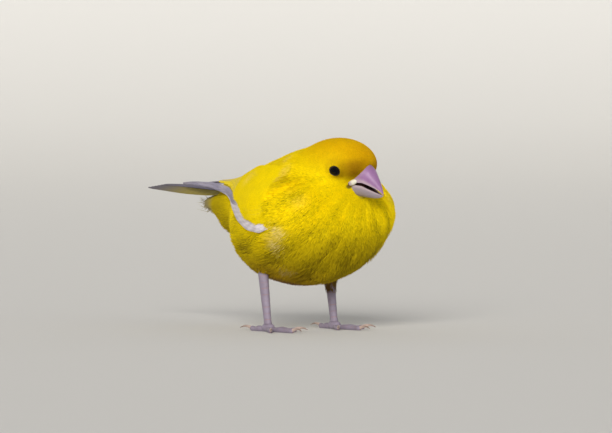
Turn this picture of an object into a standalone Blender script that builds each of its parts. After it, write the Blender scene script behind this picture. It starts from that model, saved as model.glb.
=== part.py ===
"""A canary standing at rest, life size, as closed solids.

They are its head, neck, trunk, wings, tail, legs, bill, eyes and claws. Sizes are in millimetres, and MM
turns them into metres where a mesh is made. The bird is built facing -Y, with its left side at +X and the
floor at z = 0. At the end an empty carries it, so that the origin lies on the floor under the middle of its
box.
"""

import math
from collections import namedtuple

import bmesh
import bpy
import numpy as np
from mathutils import Vector

MM = 0.001
CUT = 0.3  # clearance between neighbouring pieces
SIDES = (("left", 1.0), ("right", -1.0))

# The head looks a little to the bird's left and down.
HEAD_CENTRE = np.array([0.0, -22.0, 49.0])
HEAD_YAW = 14.0
HEAD_PITCH = 8.0
BILL_PITCH = 25.8  # of the bill's own axis, below level
BILL_ROOT = np.array([0.0, -7.2, -2.55])  # middle of the bill's base, in the head's axes
RUMP_CORE = np.array([0.0, 27.0, 38.0])
TAIL_PITCH = 4.0
HEAD_HANDLE = 17.0  # of the spine's curve, behind the head and ahead of the rump
RUMP_HANDLE = 24.0
SPINE_TILT = 1.3  # above 1, its rays stand square to it for longer

# Ellipsoids that blend into the plumage's outline: centre, half sizes, and pitch of the front end
Mass = namedtuple("Mass", "centre half pitch")
TRUNK_MASSES = (
    Mass((0, -9.0, 32.8), (22.8, 19.2, 16.1), 0),  # breast
    Mass((0, -14.4, 36.6), (23.5, 12.4, 12.2), 0),  # shoulders
    Mass((0, -1.2, 30.6), (19.7, 23.4, 16.7), 0),  # belly
    Mass((0, 6.0, 39.8), (13.0, 22.5, 11.1), 19),  # mantle
    Mass((0, 22.0, 39.0), (8.0, 14.0, 5.4), 10),  # rump
    Mass((0, 23.5, 35.0), (8.0, 10.8, 5.8), 20),  # vent
    Mass((0, 34.0, 37.0), (4.6, 11.4, 3.1), -4),  # coverts under the tail
    Mass((0, -9.6, 46.0), (12.0, 11.9, 9.2), 0),  # neck
)
HEAD_MASSES = (
    Mass((0, 0.4, 2.3), (9.4, 10.5, 7.0), 0),  # crown
    Mass((0, 3.6, -3.5), (9.2, 7.9, 7.0), 0),  # cheeks
    Mass((0, -5.0, -1.1), (2.0, 4.9, 4.0), -20),  # lores
    Mass((0, -0.6, -8.7), (6.1, 5.9, 3.8), 0),  # chin
)
TRUNK_BLEND = 5.0
HEAD_BLEND = 3.0
NECK_BLEND = 6.0

SEGMENTS = 32  # round the body
HEAD_ROWS, NECK_ROWS, TRUNK_ROWS, CLEARANCE_ROWS = 15, 9, 18, 20
HEAD_END = 0.345  # cuts along the body, as shares of the way from the bill to the tail
NECK_END = 0.47
CUT_SHARE = 0.004  # half of a cut between two of them
CLEARANCE_START = 0.42  # where the shape starts that keeps tail and thighs off the trunk

EYE_BALL = 3.0
EYE_OPENING = 1.95  # radius of the opening between the lids
EYE_TURN = 68.0  # of the line from the head's centre to the eye, away from forward
EYE_RISE = 2.0

# Bill: lengths from its root along its axis
BILL_LENGTH = 9.3
BILL_SUNK = 2.6  # how far it runs back into the head
UPPER_DEPTH = 6.3
LOWER_DEPTH = 4.1
LOWER_SHARE = 0.99  # length of the lower bill against the upper
BILL_HALF_WIDTH = 3.85
HALF_WIDTH_TAPER, UPPER_TAPER, LOWER_TAPER = 1.0, 1.0, 0.58  # below 1, the outline bulges
DOME = 0.8  # below 1, a section is fuller than an ellipse
LOWER_WIDTH = 0.87  # of the lower bill against the upper
BILL_TIPS = (0.1, -0.35)  # heights of the two tips
GAPE_BEND = 2.4  # before this far along, the gape bends down
GAPE_SLOPE = 0.55
GAPE_SHARE = 0.6  # of that slope that the cutting edges follow
GAPE_OPEN = 0.05  # slope of the mouth's opening
HINGE = 4.0  # how far behind the root it starts
TIPS_MEET = 0.9  # share of it that is closed again at the tips
UPPER_OPEN, LOWER_OPEN = 2.0, 0.5  # shares of it above and below the gape

# Wings, folded over the trunk: places along the body where the outline is given, and its values there
WING_ALONG = (-17.0, -12.0, -4.0, 4.0, 12.0, 22.0, 34.0, 52.0)
WING_LOWER_EDGE = (30.8, 30.0, 31.2, 33.8, 36.6, 40.2, 42.2, 42.2)  # heights
WING_UPPER_EDGE = (15.0, 12.0, 9.0, 7.0, 5.0, 3.0, 2.0, 1.2)  # distances from the middle plane
WING_CORE = Mass((4.0, 37.0, 41.8), (3.4, 18.0, 2.0), 0)  # carries the tip past the trunk
WING_BLEND = 3.0
WING_FRONT_ROUND = 0.12  # share of its length in which the front end rounds off
WING_TIP_ROUND = 0.6
WING_PROUD = 0.9  # of its edge, in its middle
WING_EDGE = 0.7  # thickness at its edge
WING_THICKEST = 1.8
WING_CLEAR = 0.55  # off the trunk, so that flat facets stay off it
WING_SPLIT = 0.44  # share of its length where coverts end and flight feathers begin
WING_ROWS, WING_COLUMNS = 10, 13
WING_SPINE = ((0.0, 38.0), (3.0, 41.0))  # how far aside and up its rays start, in front and at the tip
WING_FAN = (-20.0, 160.0)  # the rays' angles from the top towards the side


def unit(vector):
    """The vector at length 1, along the last axis."""
    return vector / np.linalg.norm(vector, axis=-1, keepdims=True)


def turn_x(points, degrees):
    """Points turned so that what faces -Y rises by that angle."""
    c, s = math.cos(math.radians(degrees)), math.sin(math.radians(degrees))
    x, y, z = np.moveaxis(points, -1, 0)
    return np.stack([x, y * c + z * s, z * c - y * s], -1)


def turn_z(points, degrees):
    """Points turned so that what faces -Y goes towards +X by that angle."""
    c, s = math.cos(math.radians(degrees)), math.sin(math.radians(degrees))
    x, y, z = np.moveaxis(points, -1, 0)
    return np.stack([x * c - y * s, x * s + y * c, z], -1)


def to_head(points):
    """From the bird's axes to the head's."""
    return turn_x(turn_z(points - HEAD_CENTRE, -HEAD_YAW), HEAD_PITCH)


def from_head(points):
    """From the head's axes to the bird's."""
    return turn_z(turn_x(points, -HEAD_PITCH), HEAD_YAW) + HEAD_CENTRE


def from_bill(points):
    """From the bill's axes, which have their origin at its root, to the bird's."""
    return from_head(turn_x(points, HEAD_PITCH - BILL_PITCH) + BILL_ROOT)


def distance(points, mass):
    """Near the surface, the distance of points outside an ellipsoid."""
    half = np.array(mass.half)
    local = turn_x(points - np.array(mass.centre), -mass.pitch)
    k0 = np.linalg.norm(local / half, axis=-1)
    k1 = np.linalg.norm(local / half**2, axis=-1)
    return k0 * (k0 - 1) / np.maximum(k1, 1e-9)


def blend(a, b, width):
    """The lesser of two distances, with the crease between them filled over that width."""
    h = np.clip(0.5 + 0.5 * (b - a) / width, 0, 1)
    return b * (1 - h) + a * h - width * h * (1 - h)


def plumage(points):
    """How far points lie outside the outline of head, neck and trunk."""
    trunk = distance(points, TRUNK_MASSES[0])
    for mass in TRUNK_MASSES[1:]:
        trunk = blend(trunk, distance(points, mass), TRUNK_BLEND)
    local = to_head(points)
    head = distance(local, HEAD_MASSES[0])
    for mass in HEAD_MASSES[1:]:
        head = blend(head, distance(local, mass), HEAD_BLEND)
    return blend(trunk, head, NECK_BLEND)


def reach(origins, directions, field, lift=0.0, longest=60.0):
    """Points where rays from inside first meet the surface on which field equals lift."""
    steps = np.linspace(0, longest, 61)
    near = np.zeros(origins.shape[:-1])
    far = np.full(origins.shape[:-1], longest)
    found = np.zeros(origins.shape[:-1], bool)
    for low, high in zip(steps[:-1], steps[1:]):
        outside = field(origins + directions * high) > lift
        first = outside & ~found
        near[first], far[first] = low, high
        found |= outside
    for _ in range(18):
        middle = (near + far) / 2
        outside = field(origins + directions * middle[..., None]) > lift
        far = np.where(outside, middle, far)
        near = np.where(outside, near, middle)
    return origins + directions * far[..., None]


def spine(share):
    """Origin, forward, left and up axes, and the rays' forward tilt, at shares of the way from bill to tail.

    The origins follow a Bezier curve from the middle of the head to the middle of the rump. The rays start
    forwards at the bill, stand square to the curve halfway, and end backwards at the tail."""
    share = np.asarray(share, float)
    forward_head = unit(from_bill(np.array([0, -1.0, 0])) - from_bill(np.zeros(3)))
    backward_tail = np.array([0, math.cos(math.radians(TAIL_PITCH)), -math.sin(math.radians(TAIL_PITCH))])
    p0, p3 = HEAD_CENTRE, RUMP_CORE
    p1, p2 = p0 - forward_head * HEAD_HANDLE, p3 - backward_tail * RUMP_HANDLE
    t = (share * share * (3 - 2 * share))[..., None]
    origin = p0 * (1 - t) ** 3 + 3 * p1 * t * (1 - t) ** 2 + 3 * p2 * t * t * (1 - t) + p3 * t**3
    along = (p1 - p0) * (1 - t) ** 2 + 2 * (p2 - p1) * t * (1 - t) + (p3 - p2) * t * t
    forward = -unit(along)
    left = unit(np.cross(np.array([0, 0, 1.0]), forward))
    up = np.cross(forward, left)
    c = np.cos(np.pi * share)
    tilt = np.radians(90) * np.sign(c) * np.abs(c) ** SPINE_TILT
    return origin, forward, left, up, tilt


def body_surface(shares, angles, lift=0.0):
    """Points of the plumage, by share of the way from bill to tail and by angle from the top to the left."""
    origin, forward, left, up, tilt = (a[:, None] for a in spine(shares))
    tilt = tilt[..., None]
    round_about = np.sin(angles)[None, :, None] * left + np.cos(angles)[None, :, None] * up
    rays = np.cos(tilt) * round_about + np.sin(tilt) * forward
    return reach(np.broadcast_to(origin, rays.shape), rays, plumage, lift)


def material(name, colour, roughness):
    """A plain finish."""
    made = bpy.data.materials.new(name)
    made.use_nodes = True
    shader = made.node_tree.nodes["Principled BSDF"]
    shader.inputs["Base Color"].default_value = (*colour, 1)
    shader.inputs["Roughness"].default_value = roughness
    return made


def add_object(name, bm, finish, helper=False):
    """A named object from a bmesh in millimetres. A helper is a cutter, which isn't part of the bird."""
    bmesh.ops.recalc_face_normals(bm, faces=bm.faces)
    bmesh.ops.scale(bm, vec=(MM, MM, MM), verts=bm.verts)
    mesh = bpy.data.meshes.new(name)
    bm.to_mesh(mesh)
    bm.free()
    mesh.shade_smooth()
    mesh.materials.append(finish)
    made = bpy.data.objects.new(name, mesh)
    bpy.context.scene.collection.objects.link(made)
    made.parent = carrier
    if helper:
        made.hide_render = True
        made.display_type = "WIRE"
    return made


def loft(rings, start=None, end=None):
    """A bmesh closed round rings of points. Its ends are drawn to a point, or flat where none is given."""
    bm = bmesh.new()
    loops = [[bm.verts.new(p) for p in ring] for ring in rings]
    for near, far in zip(loops[:-1], loops[1:]):
        for i in range(len(near)):
            bm.faces.new((near[i - 1], near[i], far[i], far[i - 1]))
    for loop, tip in ((loops[0], start), (loops[-1], end)):
        if tip is None:
            bm.faces.new(loop)
            continue
        point = bm.verts.new(tip)
        for i in range(len(loop)):
            bm.faces.new((loop[i - 1], loop[i], point))
    return bm


def shell(outer, inner):
    """A bmesh between two grids of points, closed along their borders."""
    bm = bmesh.new()
    rows, columns = outer.shape[:2]
    top = [[bm.verts.new(p) for p in row] for row in outer]
    under = [[bm.verts.new(p) for p in row] for row in inner]
    for grid in (top, under):
        for i in range(rows - 1):
            for j in range(columns - 1):
                bm.faces.new((grid[i][j], grid[i + 1][j], grid[i + 1][j + 1], grid[i][j + 1]))
    border = [(i, 0) for i in range(rows)]
    border += [(rows - 1, j) for j in range(1, columns)]
    border += [(i, columns - 1) for i in range(rows - 2, -1, -1)]
    border += [(0, j) for j in range(columns - 2, 0, -1)]
    for (i, j), (k, m) in zip(border, border[1:] + border[:1]):
        bm.faces.new((top[i][j], top[k][m], under[k][m], under[i][j]))
    return bm


def cut_away(target, cutter):
    """Cuts the cutter's shape out of the target."""
    boolean = target.modifiers.new("cut " + cutter.name, "BOOLEAN")
    boolean.operation = "DIFFERENCE"
    boolean.solver = "EXACT"
    boolean.object = cutter


def around(count=SEGMENTS):
    """Angles of a full turn, from the top towards the left."""
    return np.linspace(0, 2 * np.pi, count, endpoint=False)


def body_length(name, first, last, rows, finish, lift=0.0, helper=False):
    """One length of the body, between two shares of the way from bill to tail."""
    shares = np.linspace(first, last, rows)
    rings = body_surface(shares, around(), lift)
    ends = [spine(np.array([s]))[0][0] for s in (first, last)]
    if first == 0:
        ends[0] = rings[0].mean(0)
        rings = rings[1:]
    if last == 1:
        ends[1] = rings[-1].mean(0)
        rings = rings[:-1]
    return add_object(name, loft(rings, *ends), finish, helper)


def bill_section(along, half_width, depth, edge, count=9):
    """A ring of the bill in the bird's axes: a dome over a flat side, or under it where depth < 0."""
    turn = np.linspace(-np.pi / 2, np.pi / 2, count)
    dome = edge + depth * np.abs(np.cos(turn)) ** DOME
    return from_bill(np.stack([half_width * np.sin(turn), np.full(count, -along), dome], -1))


def gape_height(along):
    """Height of the gape's line in the bill's axes, which bends down behind GAPE_BEND."""
    return -GAPE_SLOPE * max(0.0, GAPE_BEND - along)


def bill_taper(along, power):
    """How the bill narrows, from 1 at its root to 0 at its tip."""
    return max(0.0, 1 - (max(along, 0.0) / BILL_LENGTH)) ** power


def make_bill():
    """The upper and lower bill, open a little, and the cutter that clears the head for them."""
    stations = np.concatenate([[-BILL_SUNK], np.linspace(0, 0.97, 10) * BILL_LENGTH])
    upper, lower, clear = [], [], []
    for along in stations:
        half = BILL_HALF_WIDTH * bill_taper(along, HALF_WIDTH_TAPER)
        edge = gape_height(along) * GAPE_SHARE
        opening = GAPE_OPEN * (along + HINGE) * (1 - TIPS_MEET * (max(along, 0) / BILL_LENGTH) ** 2)
        height = UPPER_DEPTH * bill_taper(along, UPPER_TAPER)
        depth = LOWER_DEPTH * bill_taper(along, LOWER_TAPER)
        upper_edge = edge + opening * UPPER_OPEN + CUT / 2
        lower_edge = edge - opening * LOWER_OPEN - CUT / 2
        under = along * LOWER_SHARE
        upper.append(bill_section(along, half, height, upper_edge))
        lower.append(bill_section(under, half * LOWER_WIDTH, -depth, lower_edge))
        back = CUT if along < 0 else 0
        clear.append(np.concatenate([
            bill_section(along - back, half + CUT, height + CUT, upper_edge),
            bill_section(under - back, half + CUT, -depth - CUT, lower_edge)[::-1],
        ]))
    upper_tip = from_bill(np.array([0, -BILL_LENGTH, BILL_TIPS[0]]))
    lower_tip = from_bill(np.array([0, -BILL_LENGTH * LOWER_SHARE, BILL_TIPS[1]]))
    add_object("upper_bill", loft(upper, None, upper_tip), horn)
    add_object("lower_bill", loft(lower, None, lower_tip), horn)
    return add_object("bill_clearance", loft(clear), horn, helper=True)


def eye_centre(side):
    """Middle of an eyeball, set so deep that the opening between the lids has its radius."""
    turned, rise = math.radians(EYE_TURN), math.radians(EYE_RISE)
    level = math.cos(rise)
    ray = np.array([side * math.sin(turned) * level, -math.cos(turned) * level, math.sin(rise)])
    ray = from_head(ray) - HEAD_CENTRE
    surface = reach(HEAD_CENTRE, ray, plumage)
    step = 0.2  # for the outline's slope there
    slope = unit(np.array([
        plumage(surface + axis * step) - plumage(surface - axis * step) for axis in np.eye(3)
    ]))
    return surface - slope * math.sqrt(EYE_BALL**2 - EYE_OPENING**2)


def ball(centre, radius, segments=20, rings=12):
    """A bmesh sphere."""
    bm = bmesh.new()
    bmesh.ops.create_uvsphere(bm, u_segments=segments, v_segments=rings, radius=radius)
    bmesh.ops.translate(bm, vec=Vector(centre), verts=bm.verts)
    return bm


def make_head():
    """The head with its sockets, and the eyes and bill that it is cut for."""
    head = body_length("head", 0, HEAD_END - CUT_SHARE, HEAD_ROWS, yellow)
    cut_away(head, make_bill())
    for side_name, side in SIDES:
        centre = eye_centre(side)
        add_object(side_name + "_eye", ball(centre, EYE_BALL), dark_eye)
        cut_away(head, add_object(side_name + "_socket", ball(centre, EYE_BALL + CUT), yellow, helper=True))


def wing_carrier(points):
    """Distance outside the trunk and the cores that carry the wing tips past it."""
    folded = np.abs(points[..., :1])
    mirrored = np.concatenate([folded, points[..., 1:]], -1)
    return blend(plumage(points), distance(mirrored, WING_CORE), WING_BLEND)


def wing_surface(shares, across, side):
    """Outer points of a folded wing, by the share of its length and of its width from the upper edge."""
    along = WING_ALONG[0] + shares * (WING_ALONG[-1] - WING_ALONG[0])
    (aside, height), (tip_aside, tip_height) = WING_SPINE
    aside = aside + (tip_aside - aside) * shares
    origins = np.stack([side * aside, along, height + (tip_height - height) * shares], -1)
    fan = np.radians(np.linspace(*WING_FAN, 361))
    rays = np.stack([side * np.sin(fan), 0 * fan, np.cos(fan)], -1)[None]
    swept = reach(
        np.broadcast_to(origins[:, None], (len(shares), len(fan), 3)),
        np.broadcast_to(rays, (len(shares), len(fan), 3)),
        wing_carrier,
        WING_EDGE,
    )
    low = np.interp(along, WING_ALONG, WING_LOWER_EDGE)
    high = np.interp(along, WING_ALONG, WING_UPPER_EDGE)
    rows = []
    for row, lower, upper, share in zip(swept, low, high, shares):
        first = fan[np.argmax(side * row[:, 0] > upper)]
        last = fan[np.argmax((row[:, 2] < lower) & (fan > first))]
        front = min(1.0, (share + 0.01) / WING_FRONT_ROUND)
        tip = min(1.0, (1.01 - share) / WING_TIP_ROUND)
        width = math.sqrt(1 - (1 - front) ** 2) * math.sqrt(1 - (1 - tip) ** 2)
        rows.append((first + last) / 2 + (across - 0.5) * (last - first) * width)
    angles = np.array(rows)
    rays = np.stack([side * np.sin(angles), 0 * angles, np.cos(angles)], -1)
    swell = np.sqrt(np.clip(4 * across * (1 - across), 0, 1))[None] * np.clip(3 * shares, 0.3, 1)[:, None]
    lift = WING_EDGE + WING_CLEAR + WING_PROUD * swell * np.clip(1.6 * (1 - shares), 0.25, 1)[:, None]
    origin = np.broadcast_to(origins[:, None], rays.shape)
    return origin, rays, reach(origin, rays, wing_carrier, lift)


def make_wing(side_name, side):
    """One folded wing, in two lengths: its coverts, and the flight feathers behind them."""
    lengths = (("coverts", 0.0, WING_SPLIT - CUT_SHARE), ("flights", WING_SPLIT + CUT_SHARE, 1.0))
    across = 0.5 - 0.5 * np.cos(np.linspace(0, np.pi, WING_COLUMNS))
    for part_name, first, last in lengths:
        shares = np.linspace(first, last, WING_ROWS)
        origin, rays, outer = wing_surface(shares, across, side)
        trunk = reach(origin, rays, plumage, WING_CLEAR)
        thick = np.clip(np.linalg.norm(outer - trunk, axis=-1), WING_EDGE, WING_THICKEST)
        deep = np.linalg.norm(outer - origin, axis=-1) - thick
        inner = origin + rays * deep[..., None]
        add_object(f"{side_name}_wing_{part_name}", shell(outer, inner), yellow)


# Tail, by how far back along it
TAIL_START = 31.0
TAIL_END = 70.0
TAIL_HEIGHTS = (43.2, 43.3, 43.3, 43.2, 43.1)  # of its ridge
TAIL_FALLS = (0.6, 0.55, 0.4, 0.2, 0.05)  # how steeply its two sides fall away
TAIL_HALF_WIDTHS = (4.6, 5.4, 6.0, 6.4, 6.2)
TAIL_THICKNESS = (2.2, 1.9, 1.5, 1.2, 0.8)
TAIL_FORK = 3.0
TAIL_FEATHERS = 5  # tips that show on each side
TIP_ROUND = 0.7  # how far the gaps between them run in


def make_tail(clearance):
    """The closed tail: a low roof that flattens and widens backwards, to a shallow fork of rounded tips."""
    across = np.linspace(-1, 1, 4 * TAIL_FEATHERS + 1)
    notch = TIP_ROUND * (1 - np.abs(np.sin(np.abs(across) * TAIL_FEATHERS * np.pi)))
    last = len(TAIL_HALF_WIDTHS) - 1
    rows_top, rows_under = [], []
    for row, half in enumerate(TAIL_HALF_WIDTHS):
        share = row / last
        x = across * half
        length = TAIL_END - TAIL_START - TAIL_FORK * (1 - np.abs(across)) - (notch if row == last else 0)
        roof = TAIL_HEIGHTS[row] - np.abs(x) * TAIL_FALLS[row]
        thick = TAIL_THICKNESS[row] * (1 - 0.4 * np.abs(across))
        rows_top.append(np.stack([x, TAIL_START + share * length, roof], -1))
        rows_under.append(np.stack([x, TAIL_START + share * length, roof - thick], -1))
    tail = add_object("tail", shell(np.array(rows_top), np.array(rows_under)), white_vane)
    cut_away(tail, clearance)


# Legs
HIP_SPREAD = 11.5
FOOT_SPREAD = 12.7
ANKLE = (1.0, 18.5)  # how far back and up
TOE_ROOT = (-1.6, 1.7)
KNEE = (-6.0, 27.0)
DOWN_TO = {"left": 0.4, "right": 0.08}  # share of the shank that the thigh's down hides
SHANK_RADIUS = 1.25
SHANK_END = 0.92  # share of the way to the foot, short of the pad
# Share of the way down, and radius
SHANK_SHAPE = ((0.02, 1.3), (0.2, 1.27), (0.5, 1.18), (0.9, 1.0), (1.0, 1.1))
SHANK_SQUEEZE = 0.97
THIGH_RADIUS = 4.0  # more than at its lower end
THIGH_END = 1.7
THIGH_TAPER = 1.3
# The pad under the foot: how far back, height, radius
PAD_SHAPE = ((1.8, 1.0, 0.8), (1.0, 0.9, 1.3), (-1.0, 0.9, 1.4), (-1.9, 1.0, 0.8))
Toe = namedtuple("Toe", "name turn length radius claw")
TOES = (
    Toe("inner", -31.0, 9.0, 0.85, 4.0),
    Toe("middle", 1.0, 12.5, 0.9, 4.6),
    Toe("outer", 33.0, 9.5, 0.85, 4.0),
    Toe("hind", 176.0, 7.5, 0.95, 5.4),
)
TOE_START = 2.3  # from the middle of the foot
TOE_ROOT_SLIM = 0.5  # of a toe's radius where it starts, which clears its neighbours
TOE_ROOT_SHARE = 0.21  # of its length in which it swells from there
TOE_TAPER = 0.18
TOE_KNUCKLES = 0.1  # how far its two joints swell
TOE_SUNK = 0.8  # height of a toe's middle against its radius, which flattens the sole
CLAW_HEIGHT = 0.75  # where it leaves the toe
CLAW_RISE = 0.9
CLAW_BEND = 2.6  # angle of its arch, in radians
CLAW_DROP = 0.55
CLAW_RADII = (0.55, 0.48, 0.38, 0.24)


def tube(points, radii, sides=8, squeeze=1.0, floor=None, back=(0, 0, 1.0)):
    """Rings round a line of points, whose backs face one way all along it.

    Squeeze narrows them sideways, and a floor flattens what would go below it."""
    points = np.array(points, float)
    along = unit(np.gradient(points, axis=0))
    level = unit(np.cross(along, np.array(back)))
    above = np.cross(level, along)
    turn = np.linspace(0, 2 * np.pi, sides, endpoint=False) + np.pi / sides
    radii = np.array(radii, float)[:, None, None]
    turn = turn[None, :, None]
    ring = np.cos(turn) * level[:, None] * squeeze + np.sin(turn) * above[:, None]
    rings = points[:, None] + radii * ring
    if floor is not None:
        rings[..., 2] = np.maximum(rings[..., 2], floor)
    return rings


def leg_line(side):
    """Knee, ankle and foot."""
    knee = np.array([side * HIP_SPREAD, KNEE[0], KNEE[1]])
    ankle = np.array([side * FOOT_SPREAD, ANKLE[0], ANKLE[1]])
    foot = np.array([side * FOOT_SPREAD, TOE_ROOT[0], TOE_ROOT[1]])
    return knee, ankle, foot


def make_thigh(side_name, side, clearance):
    """The feathered thigh, which tapers over the ankle."""
    knee, ankle, foot = leg_line(side)
    end = ankle + (foot - ankle) * (DOWN_TO[side_name] - 0.02)
    t = np.linspace(0, 1, 7)[:, None]
    points = knee * (1 - t) ** 2 + 2 * ankle * t * (1 - t) + end * t * t
    radii = THIGH_END + THIGH_RADIUS * (1 - t[:, 0]) ** THIGH_TAPER
    thigh = add_object(side_name + "_thigh", loft(tube(points, radii, 14, back=(0, 1.0, 0))), pale_down)
    cut_away(thigh, clearance)


def make_shank(side_name, side):
    """The bare shank, down to the knuckle over the foot, and the pad that the toes spring from."""
    knee, ankle, foot = leg_line(side)
    first = DOWN_TO[side_name]
    points = [ankle + (foot - ankle) * (first + share * (SHANK_END - first)) for share, _ in SHANK_SHAPE]
    radii = [SHANK_RADIUS * radius for _, radius in SHANK_SHAPE]
    rings = tube(points, radii, 12, SHANK_SQUEEZE, back=(0, 1.0, 0))
    add_object(side_name + "_shank", loft(rings), skin_pink)
    pad = [(foot[0], foot[1] + back, height) for back, height, _ in PAD_SHAPE]
    radii = [radius for _, _, radius in PAD_SHAPE]
    add_object(side_name + "_foot", loft(tube(pad, radii, 12, floor=0.0)), skin_pink)


def make_toe(side_name, side, toe):
    """One toe lying on the floor, and its hooked claw."""
    turned = math.radians(toe.turn)
    forward = np.array([side * math.sin(turned), -math.cos(turned), 0])
    foot = np.array([side * FOOT_SPREAD, TOE_ROOT[0], 0])
    stations = np.linspace(0, 1, 8)
    knuckles = 1 + TOE_KNUCKLES * np.cos(stations * 4 * np.pi)
    root = np.clip(TOE_ROOT_SLIM + stations * (1 - TOE_ROOT_SLIM) / TOE_ROOT_SHARE, 0, 1)
    radii = toe.radius * knuckles * root * (1 - TOE_TAPER * stations)
    points = [foot + forward * (TOE_START + s * (toe.length - TOE_START)) + np.array([0, 0, r * TOE_SUNK])
              for s, r in zip(stations, radii)]
    add_object(f"{side_name}_{toe.name}_toe", loft(tube(points, radii, 10, floor=0.0)), skin_pink)
    bend = np.linspace(0, 1, 5)
    claw = [foot + forward * (toe.length + CUT + 0.5 + b * (toe.claw - CUT))
            + np.array([0, 0, CLAW_HEIGHT + CLAW_RISE * math.sin(b * CLAW_BEND) - CLAW_DROP * b])
            for b in bend]
    rings = tube(claw[:-1], CLAW_RADII, 6, squeeze=0.75, floor=0.02)
    add_object(f"{side_name}_{toe.name}_claw", loft(rings, None, claw[-1]), claw_horn)


def centre_on_floor():
    """Moves the whole bird so that the origin lies on the floor under the middle of its box."""
    bpy.context.view_layer.update()
    graph = bpy.context.evaluated_depsgraph_get()
    corners = []
    for made in bpy.context.scene.objects:
        if made.type == "MESH" and not made.hide_render:
            evaluated = made.evaluated_get(graph)
            corners += [evaluated.matrix_world @ Vector(c) for c in evaluated.bound_box]
    low = [min(c[i] for c in corners) for i in range(3)]
    high = [max(c[i] for c in corners) for i in range(3)]
    carrier.location = (-(low[0] + high[0]) / 2, -(low[1] + high[1]) / 2, -low[2])


for old in list(bpy.data.objects):
    bpy.data.objects.remove(old)
carrier = bpy.data.objects.new("canary", None)
bpy.context.scene.collection.objects.link(carrier)

yellow = material("yellow_plumage", (0.87, 0.62, 0.01), 0.7)
white_vane = material("white_vane", (0.62, 0.6, 0.6), 0.6)
pale_down = material("pale_down", (0.75, 0.68, 0.4), 0.8)
horn = material("bill_horn", (0.66, 0.42, 0.48), 0.35)
dark_eye = material("dark_eye", (0.01, 0.008, 0.01), 0.05)
skin_pink = material("leg_skin", (0.72, 0.5, 0.46), 0.5)
claw_horn = material("claw_horn", (0.5, 0.4, 0.36), 0.35)

make_head()
body_length("neck", HEAD_END + CUT_SHARE, NECK_END - CUT_SHARE, NECK_ROWS, yellow)
body_length("trunk", NECK_END + CUT_SHARE, 1, TRUNK_ROWS, yellow)
trunk_clearance = body_length("trunk_clearance", CLEARANCE_START, 1, CLEARANCE_ROWS, yellow, CUT, helper=True)
make_tail(trunk_clearance)
for name, sign in SIDES:
    make_wing(name, sign)
    make_thigh(name, sign, trunk_clearance)
    make_shank(name, sign)
    for toe_shape in TOES:
        make_toe(name, sign, toe_shape)
centre_on_floor()
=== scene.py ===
"""A yellow canary standing at rest, built over its solids in the same frame.

The outline of head, neck and trunk is the level 0 of a field: a smooth union of ellipsoids. Rays from a curved
spine meet it at one point for each share of the way from bill to tail and each angle round the spine, and that
pair of parameters also gives the lie of the feathers and the unwrap of the skin. Wings and tail are sheets of two
parameters that carry vanes. Sizes are in millimetres in the bird's own axes (-Y ahead, +X its left, floor at 0),
and place() takes them to the frame.
"""

import math
from collections import namedtuple

import bpy
import numpy as np
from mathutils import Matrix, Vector


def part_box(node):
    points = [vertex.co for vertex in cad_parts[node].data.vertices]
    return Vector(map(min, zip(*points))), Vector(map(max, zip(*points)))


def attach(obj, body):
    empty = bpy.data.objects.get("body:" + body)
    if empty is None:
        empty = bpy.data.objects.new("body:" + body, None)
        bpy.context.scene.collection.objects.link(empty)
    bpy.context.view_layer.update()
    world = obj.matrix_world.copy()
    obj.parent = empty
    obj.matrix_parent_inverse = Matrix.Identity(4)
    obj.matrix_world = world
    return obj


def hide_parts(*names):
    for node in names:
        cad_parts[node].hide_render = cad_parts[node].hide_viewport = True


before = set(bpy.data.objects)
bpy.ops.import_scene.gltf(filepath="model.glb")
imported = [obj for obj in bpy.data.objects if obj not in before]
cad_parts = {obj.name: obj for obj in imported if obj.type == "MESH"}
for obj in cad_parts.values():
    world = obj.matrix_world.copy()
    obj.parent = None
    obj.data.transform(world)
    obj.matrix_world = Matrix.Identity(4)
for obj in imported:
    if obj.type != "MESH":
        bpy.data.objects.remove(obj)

bl_info = {
    "name": "Canary",
    "blender": (4, 5, 0),
    "version": (1, 0, 0),
    "location": "3D View > Sidebar > Canary",
    "description": "A canary with its coat of feathers, on a plain stage",
    "category": "Object",
}

MM = 0.001
UP = np.array([0, 0, 1.0])
SIDES = (("left", 1.0), ("right", -1.0))

# Posture and outline, as in the solids
HEAD_CENTRE = np.array([0.0, -22.0, 49.0])
HEAD_YAW = 14.0
HEAD_PITCH = 8.0
BILL_PITCH = 25.8
BILL_ROOT = np.array([0.0, -7.2, -2.55])
RUMP_CORE = np.array([0.0, 27.0, 38.0])
TAIL_PITCH = 4.0
SPINE_FROM_HEAD = 17.0  # lengths of the handles that bend the spine
SPINE_TO_RUMP = 24.0
SPINE_TILT_POWER = 1.3  # the higher, the later its rays tip forwards or backwards

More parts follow.
